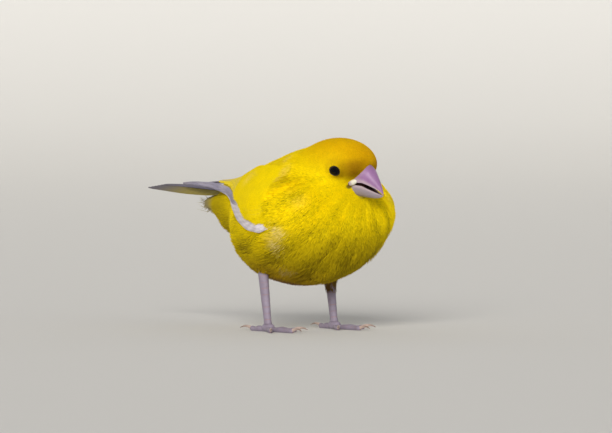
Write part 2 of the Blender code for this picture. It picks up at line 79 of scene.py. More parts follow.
Mass = namedtuple("Mass", "centre half pitch")
TRUNK_MASSES = (
    Mass((0, -9.0, 32.8), (22.8, 19.2, 16.1), 0),  # breast
    Mass((0, -14.4, 36.6), (23.5, 12.4, 12.2), 0),  # shoulders
    Mass((0, -1.2, 30.6), (19.7, 23.4, 16.7), 0),  # belly
    Mass((0, 6.0, 39.8), (13.0, 22.5, 11.1), 19),  # mantle
    Mass((0, 22.0, 39.0), (8.0, 14.0, 5.4), 10),  # rump
    Mass((0, 23.5, 35.0), (8.0, 10.8, 5.8), 20),  # vent
    Mass((0, 34.0, 37.0), (4.6, 11.4, 3.1), -4),  # coverts under the tail
    Mass((0, -9.6, 46.0), (12.0, 11.9, 9.2), 0),  # neck
)
HEAD_MASSES = (
    Mass((0, 0.4, 2.3), (9.4, 10.5, 7.0), 0),  # crown
    Mass((0, 3.6, -3.5), (9.2, 7.9, 7.0), 0),  # cheeks
    Mass((0, -5.0, -1.1), (2.0, 4.9, 4.0), -20),  # lores
    Mass((0, -0.6, -8.7), (6.1, 5.9, 3.8), 0),  # chin
)
TRUNK_BLEND = 5.0
HEAD_BLEND = 3.0
NECK_BLEND = 6.0

# Bill, in its own axes from its root. The lower one's length and width are shares of the upper one's.
BILL_LENGTH = 9.3
BILL_SUNK = 2.6
UPPER_DEPTH = 6.3
UPPER_TAPER = 0.97
LOWER_DEPTH = 4.1
LOWER_TAPER = 0.58
LOWER_LENGTH = 0.99
LOWER_WIDTH = 0.87
BILL_HALF_WIDTH = 3.85
GAPE_BEND = 2.4
GAPE_SLOPE = 0.55
GAPE_OPEN = 0.05
UPPER_OPEN = 2.0  # how much of the opening each half takes
LOWER_OPEN = 0.5
HALF_SLIT = 0.15  # stays open at the tips
HINGE = 4.0
TIPS_MEET = 0.9
HOOK = 0.25  # how far the upper tip comes down
HORN_ROWS = 70
HORN_COLUMNS = 41
PALATE_SHARE = 0.35

# Eyes: the ball's radius, the opening that sets its depth, and the one that the lids leave
EYE_BALL = 3.0
EYE_OPENING = 1.95
EYE_SEEN = 1.56
LID_COVER = 0.1
LID_BLEND = 0.5
EYE_TURN = 68.0
EYE_RISE = 2.0
IRIS_STARTS = (1.0, 1.15)  # distances from the middle of the eye
IRIS_ENDS = (1.85, 1.65)
LID_WRINKLES = 20
LID_WRINKLE = 0.14  # as a share of the rim's thickness
LID_NARROWING = 0.17  # of the opening, from top to bottom

# Folded wings, by distance along the body
WING_ALONG = (-17.0, -12.0, -4.0, 4.0, 12.0, 22.0, 34.0, 52.0)
WING_LOWER_EDGE = (30.8, 30.0, 31.2, 33.8, 36.6, 40.2, 42.2, 42.2)
WING_UPPER_EDGE = (15.0, 12.0, 9.0, 7.0, 5.0, 3.0, 2.0, 1.2)
WING_CORE = Mass((4.0, 37.0, 41.8), (3.4, 18.0, 2.0), 0)
WING_BLEND = 3.0
WING_FRONT_ROUND = 0.12
WING_TIP_ROUND = 0.6
WING_FAN = (-20, 160, 181)  # trial rays round a wing's axis: from, to and how many
WING_AXIS = (3.0, 38.0, 3.0)  # its spread at the tip, its height, and its rise to the tip
WING_TRIAL_LIFT = 0.7
WING_SUNK = 1.3  # under the trunk's outline, where it comes out of the coat
WING_GRID = (120, 70)
WING_SEED = 7
WEB_LENGTH = 0.66  # as a share of the wing's
WEB_DEPTHS = (0.12, 0.6)
# Breadth of the white band along the wing's lower edge, by the share of the wing's length
BAND_BREADTH = ((0.0, 0.07, 0.17, 0.25, 0.38, 0.54, 0.8), (1.9, 2.2, 2.6, 2.9, 2.6, 2.2, 2.2))

# Tail
TAIL_START = 31.0
TAIL_END = 70.0
TAIL_HEIGHTS = (43.2, 43.3, 43.3, 43.2, 43.1)
TAIL_FALLS = (0.6, 0.55, 0.4, 0.2, 0.05)
TAIL_HALF_WIDTHS = (4.6, 5.4, 6.0, 6.4, 6.2)
TAIL_FORK = 3.0
TAIL_GRID = (60, 41)

# Legs
HIP_SPREAD = 11.5
FOOT_SPREAD = 12.7
ANKLE = (1.0, 18.5)
TOE_ROOT = (-1.6, 1.7)
KNEE = (-6.0, 27.0)
DOWN_TO = {"left": 0.4, "right": 0.08}
SHANK_RADIUS = 1.25
# How stout a shank is, by the share of the way from ankle to foot
SHANK_GIRTH = ((-0.06, 0.02, 0.2, 0.5, 0.88, 0.97), (1.32, 1.38, 1.33, 1.22, 1.02, 1.12))
THIGH_RADIUS = 4.0
THIGH_END_RADIUS = 1.7
THIGH_SKIN_DEPTH = 0.55
SHANK_PLATE = 0.11  # heights of the scutes, the toes' as a share of their radius
TOE_PLATE = 0.08
LEG_SEED = 11
Toe = namedtuple("Toe", "name turn length radius claw plates")
TOES = (
    Toe("inner", -31.0, 9.0, 0.85, 4.0, 9),
    Toe("middle", 1.0, 12.5, 0.9, 4.6, 13),
    Toe("outer", 33.0, 9.5, 0.85, 4.0, 10),
    Toe("hind", 176.0, 7.5, 0.95, 5.4, 7),
)
TOE_SUNK = 0.8
CLAW_ROOT = 0.5
CLAW_RADIUS = 0.56
CLAW_RISE = 0.9

# The coat, its skin and how clear they stay of the eyes
SKIN_GRID = (251, 300)
SKIN_UNDER_ROOTS = 0.12
COAT_PIECES = 8
ROOTS_CLEAR = 0.15
STRANDS_CLEAR = 0.1
DOWN_STRAND = 0.22
COVERT_STRAND = 0.34
COVERT_LIFT = 0.4
STRAND_RINGS = 3
PATCH = 0.003  # a tuft's breadth in the unwrap
WAVES = 14  # sines in a ripple

# Lengths of tufts, by the share of the way along what they cover
COAT_LENGTHS = ((0, 0.1, 0.2, 0.34, 0.47, 0.7, 1), (0.8, 1.2, 1.9, 2.8, 3.7, 4.4, 4.4))
DOWN_LENGTHS = ((0, 0.7, 1), (3.0, 2.6, 2.2))
COVERT_LENGTHS = ((0, 0.1, 0.25, 0.5), (2.2, 2.8, 3.6, 4.2))

# Vanes of wings and tail
VANE_COLUMNS = 9
VANE_THICKNESS = 0.09
VANE_CAMBER = 0.1

# Stage. The floor's profile goes away from the camera and up, in metres, and the lights stand aside of the bird,
# beyond it and up from it.
FLOOR_PROFILE = ((-20, 0), (2.4, 0), (2.8, 0.04), (3.1, 0.16), (3.3, 0.4), (3.4, 0.8), (3.4, 4))
FLOOR_HALF_WIDTH = 20
SENSOR_WIDTH = 36.0
VIEW_WIDTH = 185.45  # across the picture, at the feet
AIM = (2.42, 34.39)  # right of the feet and above them
CLIP = (0.1, 60.0)
LIGHTS = (
    # name, place, width in degrees and colour
    ("key", (-0.14, -1.0, 0.42), 26.0, (1.0, 0.97, 0.93)),
    ("fill", (0.85, -0.75, 0.42), 60.0, (0.94, 0.96, 1.0)),
)
SKY = {"Color": (0.95, 0.96, 1.0, 1.0), "Strength": 0.25}


# Points and directions


def unit(vector):
    """The vector at length 1, along the last axis."""
    return vector / np.maximum(np.linalg.norm(vector, axis=-1, keepdims=True), 1e-12)


def turn_x(points, degrees):
    """Points turned so that what faces -Y rises by that angle."""
    c, s = math.cos(math.radians(degrees)), math.sin(math.radians(degrees))
    x, y, z = np.moveaxis(points, -1, 0)
    return np.stack([x, y * c + z * s, z * c - y * s], -1)


def turn_z(points, degrees):
    """Points turned so that what faces -Y goes towards +X by that angle."""
    c, s = math.cos(math.radians(degrees)), math.sin(math.radians(degrees))
    x, y, z = np.moveaxis(points, -1, 0)
    return np.stack([x * c - y * s, x * s + y * c, z], -1)


def to_head(points):
    """From the bird's axes to the head's."""
    return turn_x(turn_z(points - HEAD_CENTRE, -HEAD_YAW), HEAD_PITCH)


def from_head(points):
    """From the head's axes to the bird's."""
    return turn_z(turn_x(points, -HEAD_PITCH), HEAD_YAW) + HEAD_CENTRE


def from_bill(points):
    """From the bill's axes to the bird's."""
    return from_head(turn_x(points, HEAD_PITCH - BILL_PITCH) + BILL_ROOT)


def to_bill(points):
    """From the bird's axes to the bill's."""
    return turn_x(to_head(points) - BILL_ROOT, BILL_PITCH - HEAD_PITCH)


def smooth(low, high, x):
    """0 below low, 1 above high, and 3t^2 - 2t^3 between."""
    t = np.clip((x - low) / (high - low), 0, 1)
    return t * t * (3 - 2 * t)


# The outline's field


def distance(points, mass):
    """Near the surface, the distance of points outside an ellipsoid: k0 (k0 - 1) / k1, with k0 the length of the
    point over the half sizes and k1 its length over their squares."""
    half = np.array(mass.half)
    local = turn_x(points - np.array(mass.centre), -mass.pitch)
    k0 = np.linalg.norm(local / half, axis=-1)
    k1 = np.linalg.norm(local / half**2, axis=-1)
    return k0 * (k0 - 1) / np.maximum(k1, 1e-9)


def blend(a, b, width):
    """The lesser of two distances, with the crease between them filled over that width."""
    h = np.clip(0.5 + 0.5 * (b - a) / width, 0, 1)
    return b * (1 - h) + a * h - width * h * (1 - h)


def plumage(points):
    """How far points lie outside the outline of head, neck and trunk."""
    trunk = distance(points, TRUNK_MASSES[0])
    for mass in TRUNK_MASSES[1:]:
        trunk = blend(trunk, distance(points, mass), TRUNK_BLEND)
    local = to_head(points)
    head = distance(local, HEAD_MASSES[0])
    for mass in HEAD_MASSES[1:]:
        head = blend(head, distance(local, mass), HEAD_BLEND)
    return blend(trunk, head, NECK_BLEND)


def wing_carrier(points):
    """Distance outside the trunk and the cores that carry the wing tips past it."""
    mirrored = np.concatenate([np.abs(points[..., :1]), points[..., 1:]], -1)
    return blend(plumage(points), distance(mirrored, WING_CORE), WING_BLEND)


def reach(origins, directions, field, lift=0.0):
    """Points where rays from inside first meet the surface on which field equals lift.

    Each step goes out by most of the distance that the field still lacks."""
    far = np.zeros(directions.shape[:-1])
    for _ in range(26):
        left = np.clip(lift - field(origins + directions * far[..., None]), -2, 6)
        far = np.maximum(far + left * 0.95, 0)
    return origins + directions * far[..., None]


def slope(points, field, step=0.1):
    """The field's direction of steepest rise."""
    return unit(np.stack([field(points + axis * step) - field(points - axis * step) for axis in np.eye(3)], -1))


def spine(share):
    """Origin, forward, left and up axes, and the rays' forward tilt, at shares of the way from bill to tail."""
    share = np.asarray(share, float)
    forward_head = unit(from_bill(np.array([0, -1.0, 0])) - from_bill(np.zeros(3)))
    backward_tail = np.array([0, math.cos(math.radians(TAIL_PITCH)), -math.sin(math.radians(TAIL_PITCH))])
    p0, p3 = HEAD_CENTRE, RUMP_CORE
    p1, p2 = p0 - forward_head * SPINE_FROM_HEAD, p3 - backward_tail * SPINE_TO_RUMP
    t = smooth(0, 1, share)[..., None]
    origin = p0 * (1 - t) ** 3 + 3 * p1 * t * (1 - t) ** 2 + 3 * p2 * t * t * (1 - t) + p3 * t**3
    along = (p1 - p0) * (1 - t) ** 2 + 2 * (p2 - p1) * t * (1 - t) + (p3 - p2) * t * t
    forward = -unit(along)
    left = unit(np.cross(UP, forward))
    up = np.cross(forward, left)
    c = np.cos(np.pi * share)
    tilt = np.pi / 2 * np.sign(c) * np.abs(c) ** SPINE_TILT_POWER
    return origin, forward, left, up, tilt


class Sheet:
    """A surface known at a grid of two parameters from 0 to 1, with its normals. The second one may come round."""

    def __init__(self, points, normals, closed=False):
        self.points, self.normals, self.closed = points, normals, closed

    def at(self, a, b):
        """Points and normals at parameters, straight between the grid's."""
        rows, columns = self.points.shape[:2]
        x = np.clip(a, 0, 1) * (rows - 1)
        i = np.minimum(x.astype(int), rows - 2)
        fx = (x - i)[..., None]
        if self.closed:
            y = np.mod(b, 1.0) * columns
            j = y.astype(int) % columns
            k = (j + 1) % columns
            fy = (y - np.floor(y))[..., None]
        else:
            y = np.clip(b, 0, 1) * (columns - 1)
            j = np.minimum(y.astype(int), columns - 2)
            k = j + 1
            fy = (y - j)[..., None]
        out = []
        for grid in (self.points, self.normals):
            near = grid[i, j] * (1 - fy) + grid[i, k] * fy
            far = grid[i + 1, j] * (1 - fy) + grid[i + 1, k] * fy
            out.append(near * (1 - fx) + far * fx)
        return out[0], unit(out[1])

    def stretch(self, a, b):
        """Lengths on the surface per unit of each parameter."""
        step, least = 0.006, 3.0
        along = self.at(a + step, b)[0] - self.at(a - step, b)[0]
        across = self.at(a, b + step)[0] - self.at(a, b - step)[0]
        return [np.maximum(np.linalg.norm(d, axis=-1) / (2 * step), least) for d in (along, across)]

    def spread(self, count, density, rng):
        """Parameters of that many places, even over the surface for a density of 1, by the inverse of its sums."""
        rows, columns = self.points.shape[:2]
        a = (np.arange(rows) + 0.5) / rows
        b = (np.arange(columns) + 0.5) / columns
        grid_a, grid_b = np.meshgrid(a, b, indexing="ij")
        along, across = self.stretch(grid_a, grid_b)
        weight = np.maximum(along * across * density(grid_a, grid_b), 1e-9)
        rank = (np.arange(count) + 0.5) / count
        per_row = np.concatenate([[0], np.cumsum(weight.sum(1))])
        place_a = np.interp(rank * per_row[-1], per_row, np.arange(rows + 1) / rows)
        row = np.minimum((place_a * rows).astype(int), rows - 1)
        sums = np.concatenate([np.zeros((rows, 1)), np.cumsum(weight, 1)], 1)
        golden = 0.6180339887
        share = np.mod(np.arange(count) * golden + rng.uniform(-0.002, 0.002, count), 1.0)
        want = share * sums[row, -1]
        column = np.clip((sums[row] < want[:, None]).sum(1) - 1, 0, columns - 1)
        low, high = sums[row, column], sums[row, column + 1]
        place_b = (column + (want - low) / np.maximum(high - low, 1e-12)) / columns
        return place_a, place_b


def lidded(points):
    """The outline's distance with the lids' swelling over the eyeballs."""
    out = plumage(points)
    for _, side in SIDES:
        ball = np.linalg.norm(points - eye_place(side)[0], axis=-1) - EYE_BALL - LID_COVER
        out = blend(out, ball, LID_BLEND)
    return out


def body_sheet(rows, columns):
    """Head, neck and trunk: rays from the spine to the outline, by share of the way and angle from the top."""
    shares = np.linspace(0, 1, rows)
    angles = np.arange(columns) / columns * 2 * np.pi
    origin, forward, left, up, tilt = (a[:, None] for a in spine(shares))
    tilt = tilt[..., None]
    ring = np.sin(angles)[None, :, None] * left + np.cos(angles)[None, :, None] * up
    rays = np.cos(tilt) * ring + np.sin(tilt) * forward
    points = reach(np.broadcast_to(origin, rays.shape), rays, lidded)
    return Sheet(points, slope(points, lidded), closed=True)


def wing_lift(a, c):
    """Height of a folded wing over the trunk's outline. It rises out of the coat at its front and upper edges."""
    out = smooth(0.0, 0.3 - 0.25 * c**3, a) * smooth(0.0, 0.28 - 0.2 * smooth(0.1, 0.5, a), c)
    crown = 0.5 * np.sqrt(np.clip(4 * c * (1 - c), 0, 1))
    return (1.5 + 0.3 * smooth(0.4, 0.9, c) + crown) * out - WING_SUNK


def sideways(side, angles):
    """Rays at angles from straight up towards one side."""
    return np.stack([side * np.sin(angles), 0 * angles, np.cos(angles)], -1)


def wing_sheet(side, rows, columns):
    """A folded wing: rays from a line inside the trunk, by share of its length and of its width from the top."""
    shares, across = np.linspace(0, 1, rows), np.linspace(0, 1, columns)
    along = WING_ALONG[0] + shares * (WING_ALONG[-1] - WING_ALONG[0])
    spread, height, rise = WING_AXIS
    origins = np.stack([side * spread * shares, along, height + rise * shares], -1)[:, None]
    fan = np.radians(np.linspace(*WING_FAN))
    swept = reach(*np.broadcast_arrays(origins, sideways(side, fan)[None]), wing_carrier, WING_TRIAL_LIFT)
    low = np.interp(along, WING_ALONG, WING_LOWER_EDGE)[:, None]
    high = np.interp(along, WING_ALONG, WING_UPPER_EDGE)[:, None]
    first = fan[np.argmax(side * swept[..., 0] > high, axis=1)]
    last = fan[np.argmax((swept[..., 2] < low) & (fan[None] > first[:, None]), axis=1)]
    kernel = np.hanning(9) / np.hanning(9).sum()
    first, last = (np.convolve(np.pad(v, 4, mode="edge"), kernel, "valid") for v in (first, last))
    front = np.minimum(1.0, (shares + 0.01) / WING_FRONT_ROUND)
    tip = np.minimum(1.0, (1.01 - shares) / WING_TIP_ROUND)
    width = np.sqrt(1 - (1 - front) ** 2) * np.sqrt(1 - (1 - tip) ** 2)
    pivot = 0.5 + 0.38 * smooth(0.15, 0.0, shares)[:, None]
    angles = first[:, None] + (last - first)[:, None] * (pivot + (across[None] - pivot) * width[:, None])
    lift = wing_lift(shares[:, None], across[None])
    points = reach(*np.broadcast_arrays(origins, sideways(side, angles)), wing_carrier, lift)
    return Sheet(points, slope(points, wing_carrier))


def tail_sheet(rows, columns):
    """The closed tail: a roof whose slopes flatten backwards, with x across it and its outer tips furthest back."""
    share = np.linspace(0, 1, rows)[:, None]
    across = np.linspace(-1, 1, columns)[None]
    knots = np.linspace(0, 1, len(TAIL_HALF_WIDTHS))
    half, fall, height = (np.interp(share, knots, v) for v in (TAIL_HALF_WIDTHS, TAIL_FALLS, TAIL_HEIGHTS))
    x = across * half
    back = TAIL_START + share * (TAIL_END - TAIL_START - TAIL_FORK * (1 - np.abs(across)))
    z = height - np.sqrt(x * x + 0.3) * fall
    points = np.stack([x, back, z], -1)
    return Sheet(points, unit(np.cross(np.gradient(points, axis=1), np.gradient(points, axis=0))))


def eye_place(side):
    """Middle of an eyeball and the direction it looks, set so deep that the outline cuts it at EYE_OPENING."""
    turned, rise = math.radians(EYE_TURN), math.radians(EYE_RISE)
    ray = np.array([side * math.sin(turned) * math.cos(rise), -math.cos(turned) * math.cos(rise), math.sin(rise)])
    ray = from_head(ray) - HEAD_CENTRE
    surface = reach(HEAD_CENTRE, ray, plumage)
    out = slope(surface, plumage, 0.2)
    return surface - out * math.sqrt(EYE_BALL**2 - EYE_OPENING**2), out


def frame_shift():
    """From the bird's own axes to the frame, read off the right eye's solid."""
    low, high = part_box("right_eye")
    middle = (np.array(low) + np.array(high)) / 2 / MM
    return middle - eye_place(-1.0)[0]


SHIFT = frame_shift()


def place(points):
    """Points in the frame, in metres."""
    return (points + SHIFT) * MM


# Meshes


def mesh_of(name, points, faces, finish):
    """A smooth mesh from points in metres and arrays of corners, of three or four each. Also gives all corners."""
    corners = np.concatenate([f.ravel() for f in faces])
    totals = np.concatenate([np.full(len(f), f.shape[1]) for f in faces])
    starts = np.concatenate([[0], np.cumsum(totals)[:-1]])
    mesh = bpy.data.meshes.new(name)
    mesh.vertices.add(len(points))
    mesh.vertices.foreach_set("co", points.astype(np.float32).ravel())
    mesh.loops.add(len(corners))
    mesh.loops.foreach_set("vertex_index", corners.astype(np.int32))
    mesh.polygons.add(len(totals))
    mesh.polygons.foreach_set("loop_start", starts.astype(np.int32))
    mesh.update(calc_edges=True)
    mesh.shade_smooth()
    mesh.materials.append(finish)
    return mesh, corners


def shown(name, data):
    """An object in the scene."""
    made = bpy.data.objects.new(name, data)
    bpy.context.scene.collection.objects.link(made)
    return made


def piece(name, points, faces, finish, uv, values, slot, nodes=(), bake=False):
    """A shown piece, from points in the bird's axes. The unwrap is per vertex, and the values are attributes."""
    mesh, corners = mesh_of(name, place(points), faces, finish)
    layer = mesh.uv_layers.new(name="OFBake" if bake else "UVMap")
    layer.uv.foreach_set("vector", uv[corners].astype(np.float32).ravel())
    for key, value in values.items():
        mesh.attributes.new(key, "FLOAT", "POINT").data.foreach_set("value", value.astype(np.float32))
    made = shown(name, mesh)
    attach(made, "root")
    if nodes:
        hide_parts(*nodes)


def grid_faces(rows, columns, closed=False, first=0, flip=False):
    """Four-cornered faces over a grid of vertices. A closed one comes round in its columns."""
    i = np.arange(rows - 1)[:, None]
    j = np.arange(columns if closed else columns - 1)[None]
    k = (j + 1) % columns
    faces = np.stack([i * columns + j, i * columns + k, (i + 1) * columns + k, (i + 1) * columns + j], -1)
    faces = faces.reshape(-1, 4) + first
    return faces[:, ::-1] if flip else faces


class Parts:
    """Grids of points gathered into one mesh."""

    def __init__(self):
        self.points, self.faces, self.uv, self.values, self.count = [], [], [], {}, 0

    def grid(self, points, uv, closed=False, flip=False, caps=False, **values):
        """Adds a grid of points. Caps close its first and last rows to their middles."""
        rows, columns = points.shape[:2]
        flat = points.reshape(-1, 3)
        uv = np.broadcast_to(uv, (rows, columns, 2)).reshape(-1, 2)
        self.faces.append(grid_faces(rows, columns, closed, self.count, flip))
        extra = []
        if caps:
            for row, end in ((0, flip), (rows - 1, not flip)):
                middle = self.count + len(flat) + len(extra)
                ring = self.count + row * columns + np.arange(columns)
                other = np.roll(ring, -1)
                fan = np.stack([ring, other, np.full(columns, middle)], -1)
                self.faces.append(fan if end else fan[:, ::-1])
                extra.append((points[row].mean(0), uv[row * columns]))
        self.points += [flat] + [e[0][None] for e in extra]
        self.uv += [uv] + [e[1][None] for e in extra]
        for key, value in values.items():
            full = np.broadcast_to(value, (rows, columns)).reshape(-1)
            pad = [full[0 if n == 0 else -1] for n in range(len(extra))]
            self.values.setdefault(key, []).append(np.concatenate([full, pad]))
        self.count += len(flat) + len(extra)

    def rings(self, rings, uv=(0.5, 0.5), **values):
        """Adds rings of points, closed round them and over both ends."""
        self.grid(rings, uv, closed=True, flip=True, caps=True, **values)

    def plate(self, top, under, uv, flip, **values):
        """Adds two grids of points and the rim between them."""
        size = top.shape[:2]
        uv = np.broadcast_to(uv, (*size, 2))
        self.grid(top, uv, flip=flip, **values)
        self.grid(under, uv, flip=not flip, **values)
        values = {key: round_rim(np.broadcast_to(value, size)) for key, value in values.items()}
        rim = np.stack([round_rim(top), round_rim(under)])
        self.grid(rim, round_rim(uv), closed=True, flip=flip, **values)

    def build(self, name, finish, slot, **options):
        """The shown piece."""
        values = {key: np.concatenate(parts) for key, parts in self.values.items()}
        points, uv = np.concatenate(self.points), np.concatenate(self.uv)
        piece(name, points, self.faces, finish, uv, values, slot, **options)


def round_rim(grid):
    """The outermost values of a grid: down its first column, across its last row, and back."""
    return np.concatenate([grid[:, 0], grid[-1, 1:], grid[-2::-1, -1], grid[0, -2:0:-1]])


def around(sides):
    """The angles of a tube's vertices round it."""
    return np.linspace(0, 2 * np.pi, sides, endpoint=False) + np.pi / sides


def tube(points, radii, sides, squeeze=1.0, floor=None, back=(0, 0, 1.0)):
    """Rings round a line of points. Radii may differ round a ring, and a floor flattens what would go below it."""
    along = unit(np.gradient(points, axis=0))
    level = unit(np.cross(along, np.array(back)))
    above = np.cross(level, along)
    turn = around(sides)
    radii = radii[:, None, None] if radii.ndim == 1 else radii[..., None]
    ring = np.cos(turn)[None, :, None] * level[:, None] * squeeze + np.sin(turn)[None, :, None] * above[:, None]
    rings = points[:, None] + radii * ring
    if floor is not None:
        rings[..., 2] = np.maximum(rings[..., 2], floor)
    return rings


# Feathers


class Tufts:
    """Tufts of strands over a sheet, made in one go and dealt out to pieces."""

    def __init__(self, sheet, a, b, length, rng, width, depth, rise, fan, strands=5, turn=0.0, loose=0.5, spread=0.2,
                 shade=0.0):
        """Strand s from 0 to 1 leaves its root under the sheet, goes length * s along the lie and fan * sin across
        it, and its height is -depth (1 - s)^1.4 + rise s^2. Loose scales what differs from strand to strand,
        spread the differences of tone, and shade shifts the tone of whole tufts."""
        count, rings = len(a), STRAND_RINGS
        along, across = sheet.stretch(a, b)
        s = np.linspace(0, 1, rings + 1)[None, None]
        k = np.linspace(-1, 1, strands)[None, :, None]
        turn = np.radians(turn)
        loose, turn, rise, width, spread, shade = (
            np.broadcast_to(v, count)[:, None, None] for v in (loose, turn, rise, width, spread, shade)
        )
        lie = turn + loose * (rng.normal(0, 0.13, (count, 1, 1)) + rng.normal(0, 0.1, (count, strands, 1)))
        size = length[:, None, None] * rng.uniform(0.82, 1.12, (count, strands, 1)) * (1 - 0.16 * k * k)
        ahead = size * s
        aside = fan * length[:, None, None] * k * (0.35 * s + 0.65 * np.sin(s * 2.2)) * 0.42
        aside = aside + rng.uniform(-0.1, 0.1, (count, 1, 1)) * s
        forth = ahead * np.cos(lie) - aside * np.sin(lie)
        over = ahead * np.sin(lie) + aside * np.cos(lie)
        pa = a[:, None, None] + forth / along[:, None, None]
        pb = b[:, None, None] + over / across[:, None, None]
        points, normals = sheet.at(pa, pb)
        past = np.clip(pa - 1, 0, None) * along[:, None, None]
        onward = unit(points - sheet.at(np.minimum(pa, 1) - 0.03, pb)[0])
        height = -depth[:, None, None] * (1 - s) ** 1.4 + rise * s * s
        height = height + loose * rng.normal(0, 0.06, (count, strands, 1)) * s
        self.normals = normals
        points = points + normals * height[..., None] + onward * past[..., None]
        step = unit(np.gradient(points, axis=2))
        roll = (k * 0.3 + loose * rng.normal(0, 0.25, (count, strands, 1)))[..., None]
        side = unit(np.cross(normals, step))
        side = side * np.cos(roll) + normals * np.sin(roll)
        breadth = width * (0.5 + 0.5 * np.sin(np.pi * np.clip(s + 0.15, 0, 1))) * (1 - s**4)
        breadth = np.broadcast_to(breadth, height.shape)[..., None] / 2
        left = points[:, :, :-1] - side[:, :, :-1] * breadth[:, :, :-1]
        right = points[:, :, :-1] + side[:, :, :-1] * breadth[:, :, :-1]
        pairs = np.stack([left, right], 3).reshape(count, strands, 2 * rings, 3)
        self.points = np.concatenate([pairs, points[:, :, -1:]], 2)
        self.roots = np.stack([a, b], -1)
        tone = 0.5 + spread * (rng.normal(0, 1, (count, 1, 1)) + rng.normal(0, 0.8, (count, strands, 1)))
        self.tone = np.broadcast_to(np.clip(tone + shade, 0, 1), (count, strands, 2 * rings + 1))
        reached = np.concatenate([np.repeat(s[0, 0, :-1], 2), [1.0]])
        self.reached = np.broadcast_to(reached, self.tone.shape)

    def lift_of(self, height):
        """The strands' normals times a height, for each of their vertices."""
        pairs = np.repeat(self.normals[:, :, :-1], 2, axis=2)
        return np.concatenate([pairs, self.normals[:, :, -1:]], 2) * height

    def keep_clear(self, centre, axis, radius):
        """Moves strands aside so that none comes within the radius of a line that starts at the centre."""
        offset, ahead = aside_of(self.points, centre, axis)
        apart = np.linalg.norm(offset, axis=-1, keepdims=True)
        push = np.where(ahead[..., None] > 0, np.clip(radius - apart, 0, None), 0)
        self.points = self.points + offset / np.maximum(apart, 1e-6) * push

    def build(self, name, chosen, finish, uv_of, pale, slot):
        """A shown piece from the chosen tufts. Each is a small patch at its root's place in the unwrap."""
        points = self.points[chosen]
        count, strands, each = points.shape[:3]
        first = (np.arange(count * strands) * each)[:, None]
        ladder = np.array([[2 * r, 2 * r + 2, 2 * r + 3, 2 * r + 1] for r in range(STRAND_RINGS - 1)])
        quads = (first[:, :, None] + ladder[None]).reshape(-1, 4)
        tips = first + np.array([[each - 3, each - 1, each - 2]])
        beside = (np.arange(strands)[:, None] / max(strands - 1, 1) - 0.5) * PATCH
        ahead = (self.reached[0, 0][None] - 0.5) * PATCH
        shift = np.stack(np.broadcast_arrays(beside, ahead), -1)
        uv = (uv_of(self.roots[chosen])[:, None, None] + shift[None]).reshape(-1, 2)
        values = {"tone": self.tone[chosen].ravel(), "reached": self.reached[chosen].ravel()}
        values["pale"] = np.repeat(pale[chosen], strands * each)
        piece(name, points.reshape(-1, 3), [quads, tips], finish, uv, values, slot, bake=True)


def tuft_count(asked):
    """How many tufts are made."""
    return asked // 1


def aside_of(points, centre, axis):
    """Offsets of points from a line, and how far along it from the centre they lie."""
    offset = points - centre
    ahead = offset @ axis
    return offset - ahead[..., None] * axis, ahead


def ripple(a, b, turns, rows, rng):
    """Waves over a closed sheet: sines of whole turns round it and of rows along it, summed to a spread of 1."""
    round_it = rng.integers(*turns, WAVES)
    along_it = rng.uniform(-rows, rows, WAVES)
    phase = rng.uniform(0, 2 * np.pi, WAVES)
    waves = np.sin(2 * np.pi * (b[:, None] * round_it + a[:, None] * along_it) + phase)
    return waves.sum(1) / math.sqrt(WAVES / 2)


def vane(parts, sheet, a, b, half_width, height, cell, narrow, tint=0.0, outer=1.0, ragged=0.0, tip=0.16):
    """One flat feather on a sheet, along a line of places from its root to its tip.

    Its half width grows as sin(pi/2 * t/0.18) at the root and closes as sqrt(1 - ((t - 1 + tip) / tip)^2) at the
    tip. The web on the outer side is narrow, and the middle stands higher by the camber. The cell is its column and
    row in the unwrap, and how many cells there are across it."""
    rows = len(a)
    t = np.linspace(0, 1, rows)[:, None]
    e = np.linspace(-1, 1, VANE_COLUMNS)[None]
    a, b = (np.broadcast_to(v, rows)[:, None] for v in (a, b))
    along, across = sheet.stretch(a, b)
    way = np.stack([np.gradient(a[:, 0]) * along[:, 0], np.gradient(b[:, 0]) * across[:, 0]], -1)
    way = unit(way)[:, None]
    close = np.sqrt(np.clip(1 - (np.clip(t - 1 + tip, 0, 1) / (tip * 1.01)) ** 2, 0, 1))
    full = np.sin(np.pi / 2 * np.clip(t / 0.18, 0.12, 1)) * close
    share = np.where(e * outer > 0, narrow, 1.0)
    notch = 1 - ragged * np.abs(e) ** 4 * (0.5 + 0.5 * np.sin(t * 61.0 + e * 5 + cell[0] * 1.7)) * t
    wide = e * share * half_width * full * notch
    pa = a - way[..., 1] * wide / along
    pb = b + way[..., 0] * wide / across
    points, normals = sheet.at(pa, pb)
    past = np.clip(pa - 1, 0, None) * along
    lift = height + VANE_CAMBER * (1 - e * e) * full - 0.05 * np.abs(e) ** 3
    points = points + normals * lift[..., None] + np.array([0, 1.0, 0]) * past[..., None]
    u = (cell[0] + 0.06 + 0.88 * (e + 1) / 2) / cell[2]
    v = (cell[1] + 0.04 + 0.92 * t) / cell[2]
    turned = np.cross(np.diff(points, axis=0)[:, :-1], np.diff(points, axis=1)[:-1])
    outward = bool((turned * normals[:-1, :-1]).sum() > 0)
    parts.plate(points, points - normals * VANE_THICKNESS, np.stack(np.broadcast_arrays(u, v), -1), outward,
                across=e * outer, reached=t, tint=tint)


# Finishes


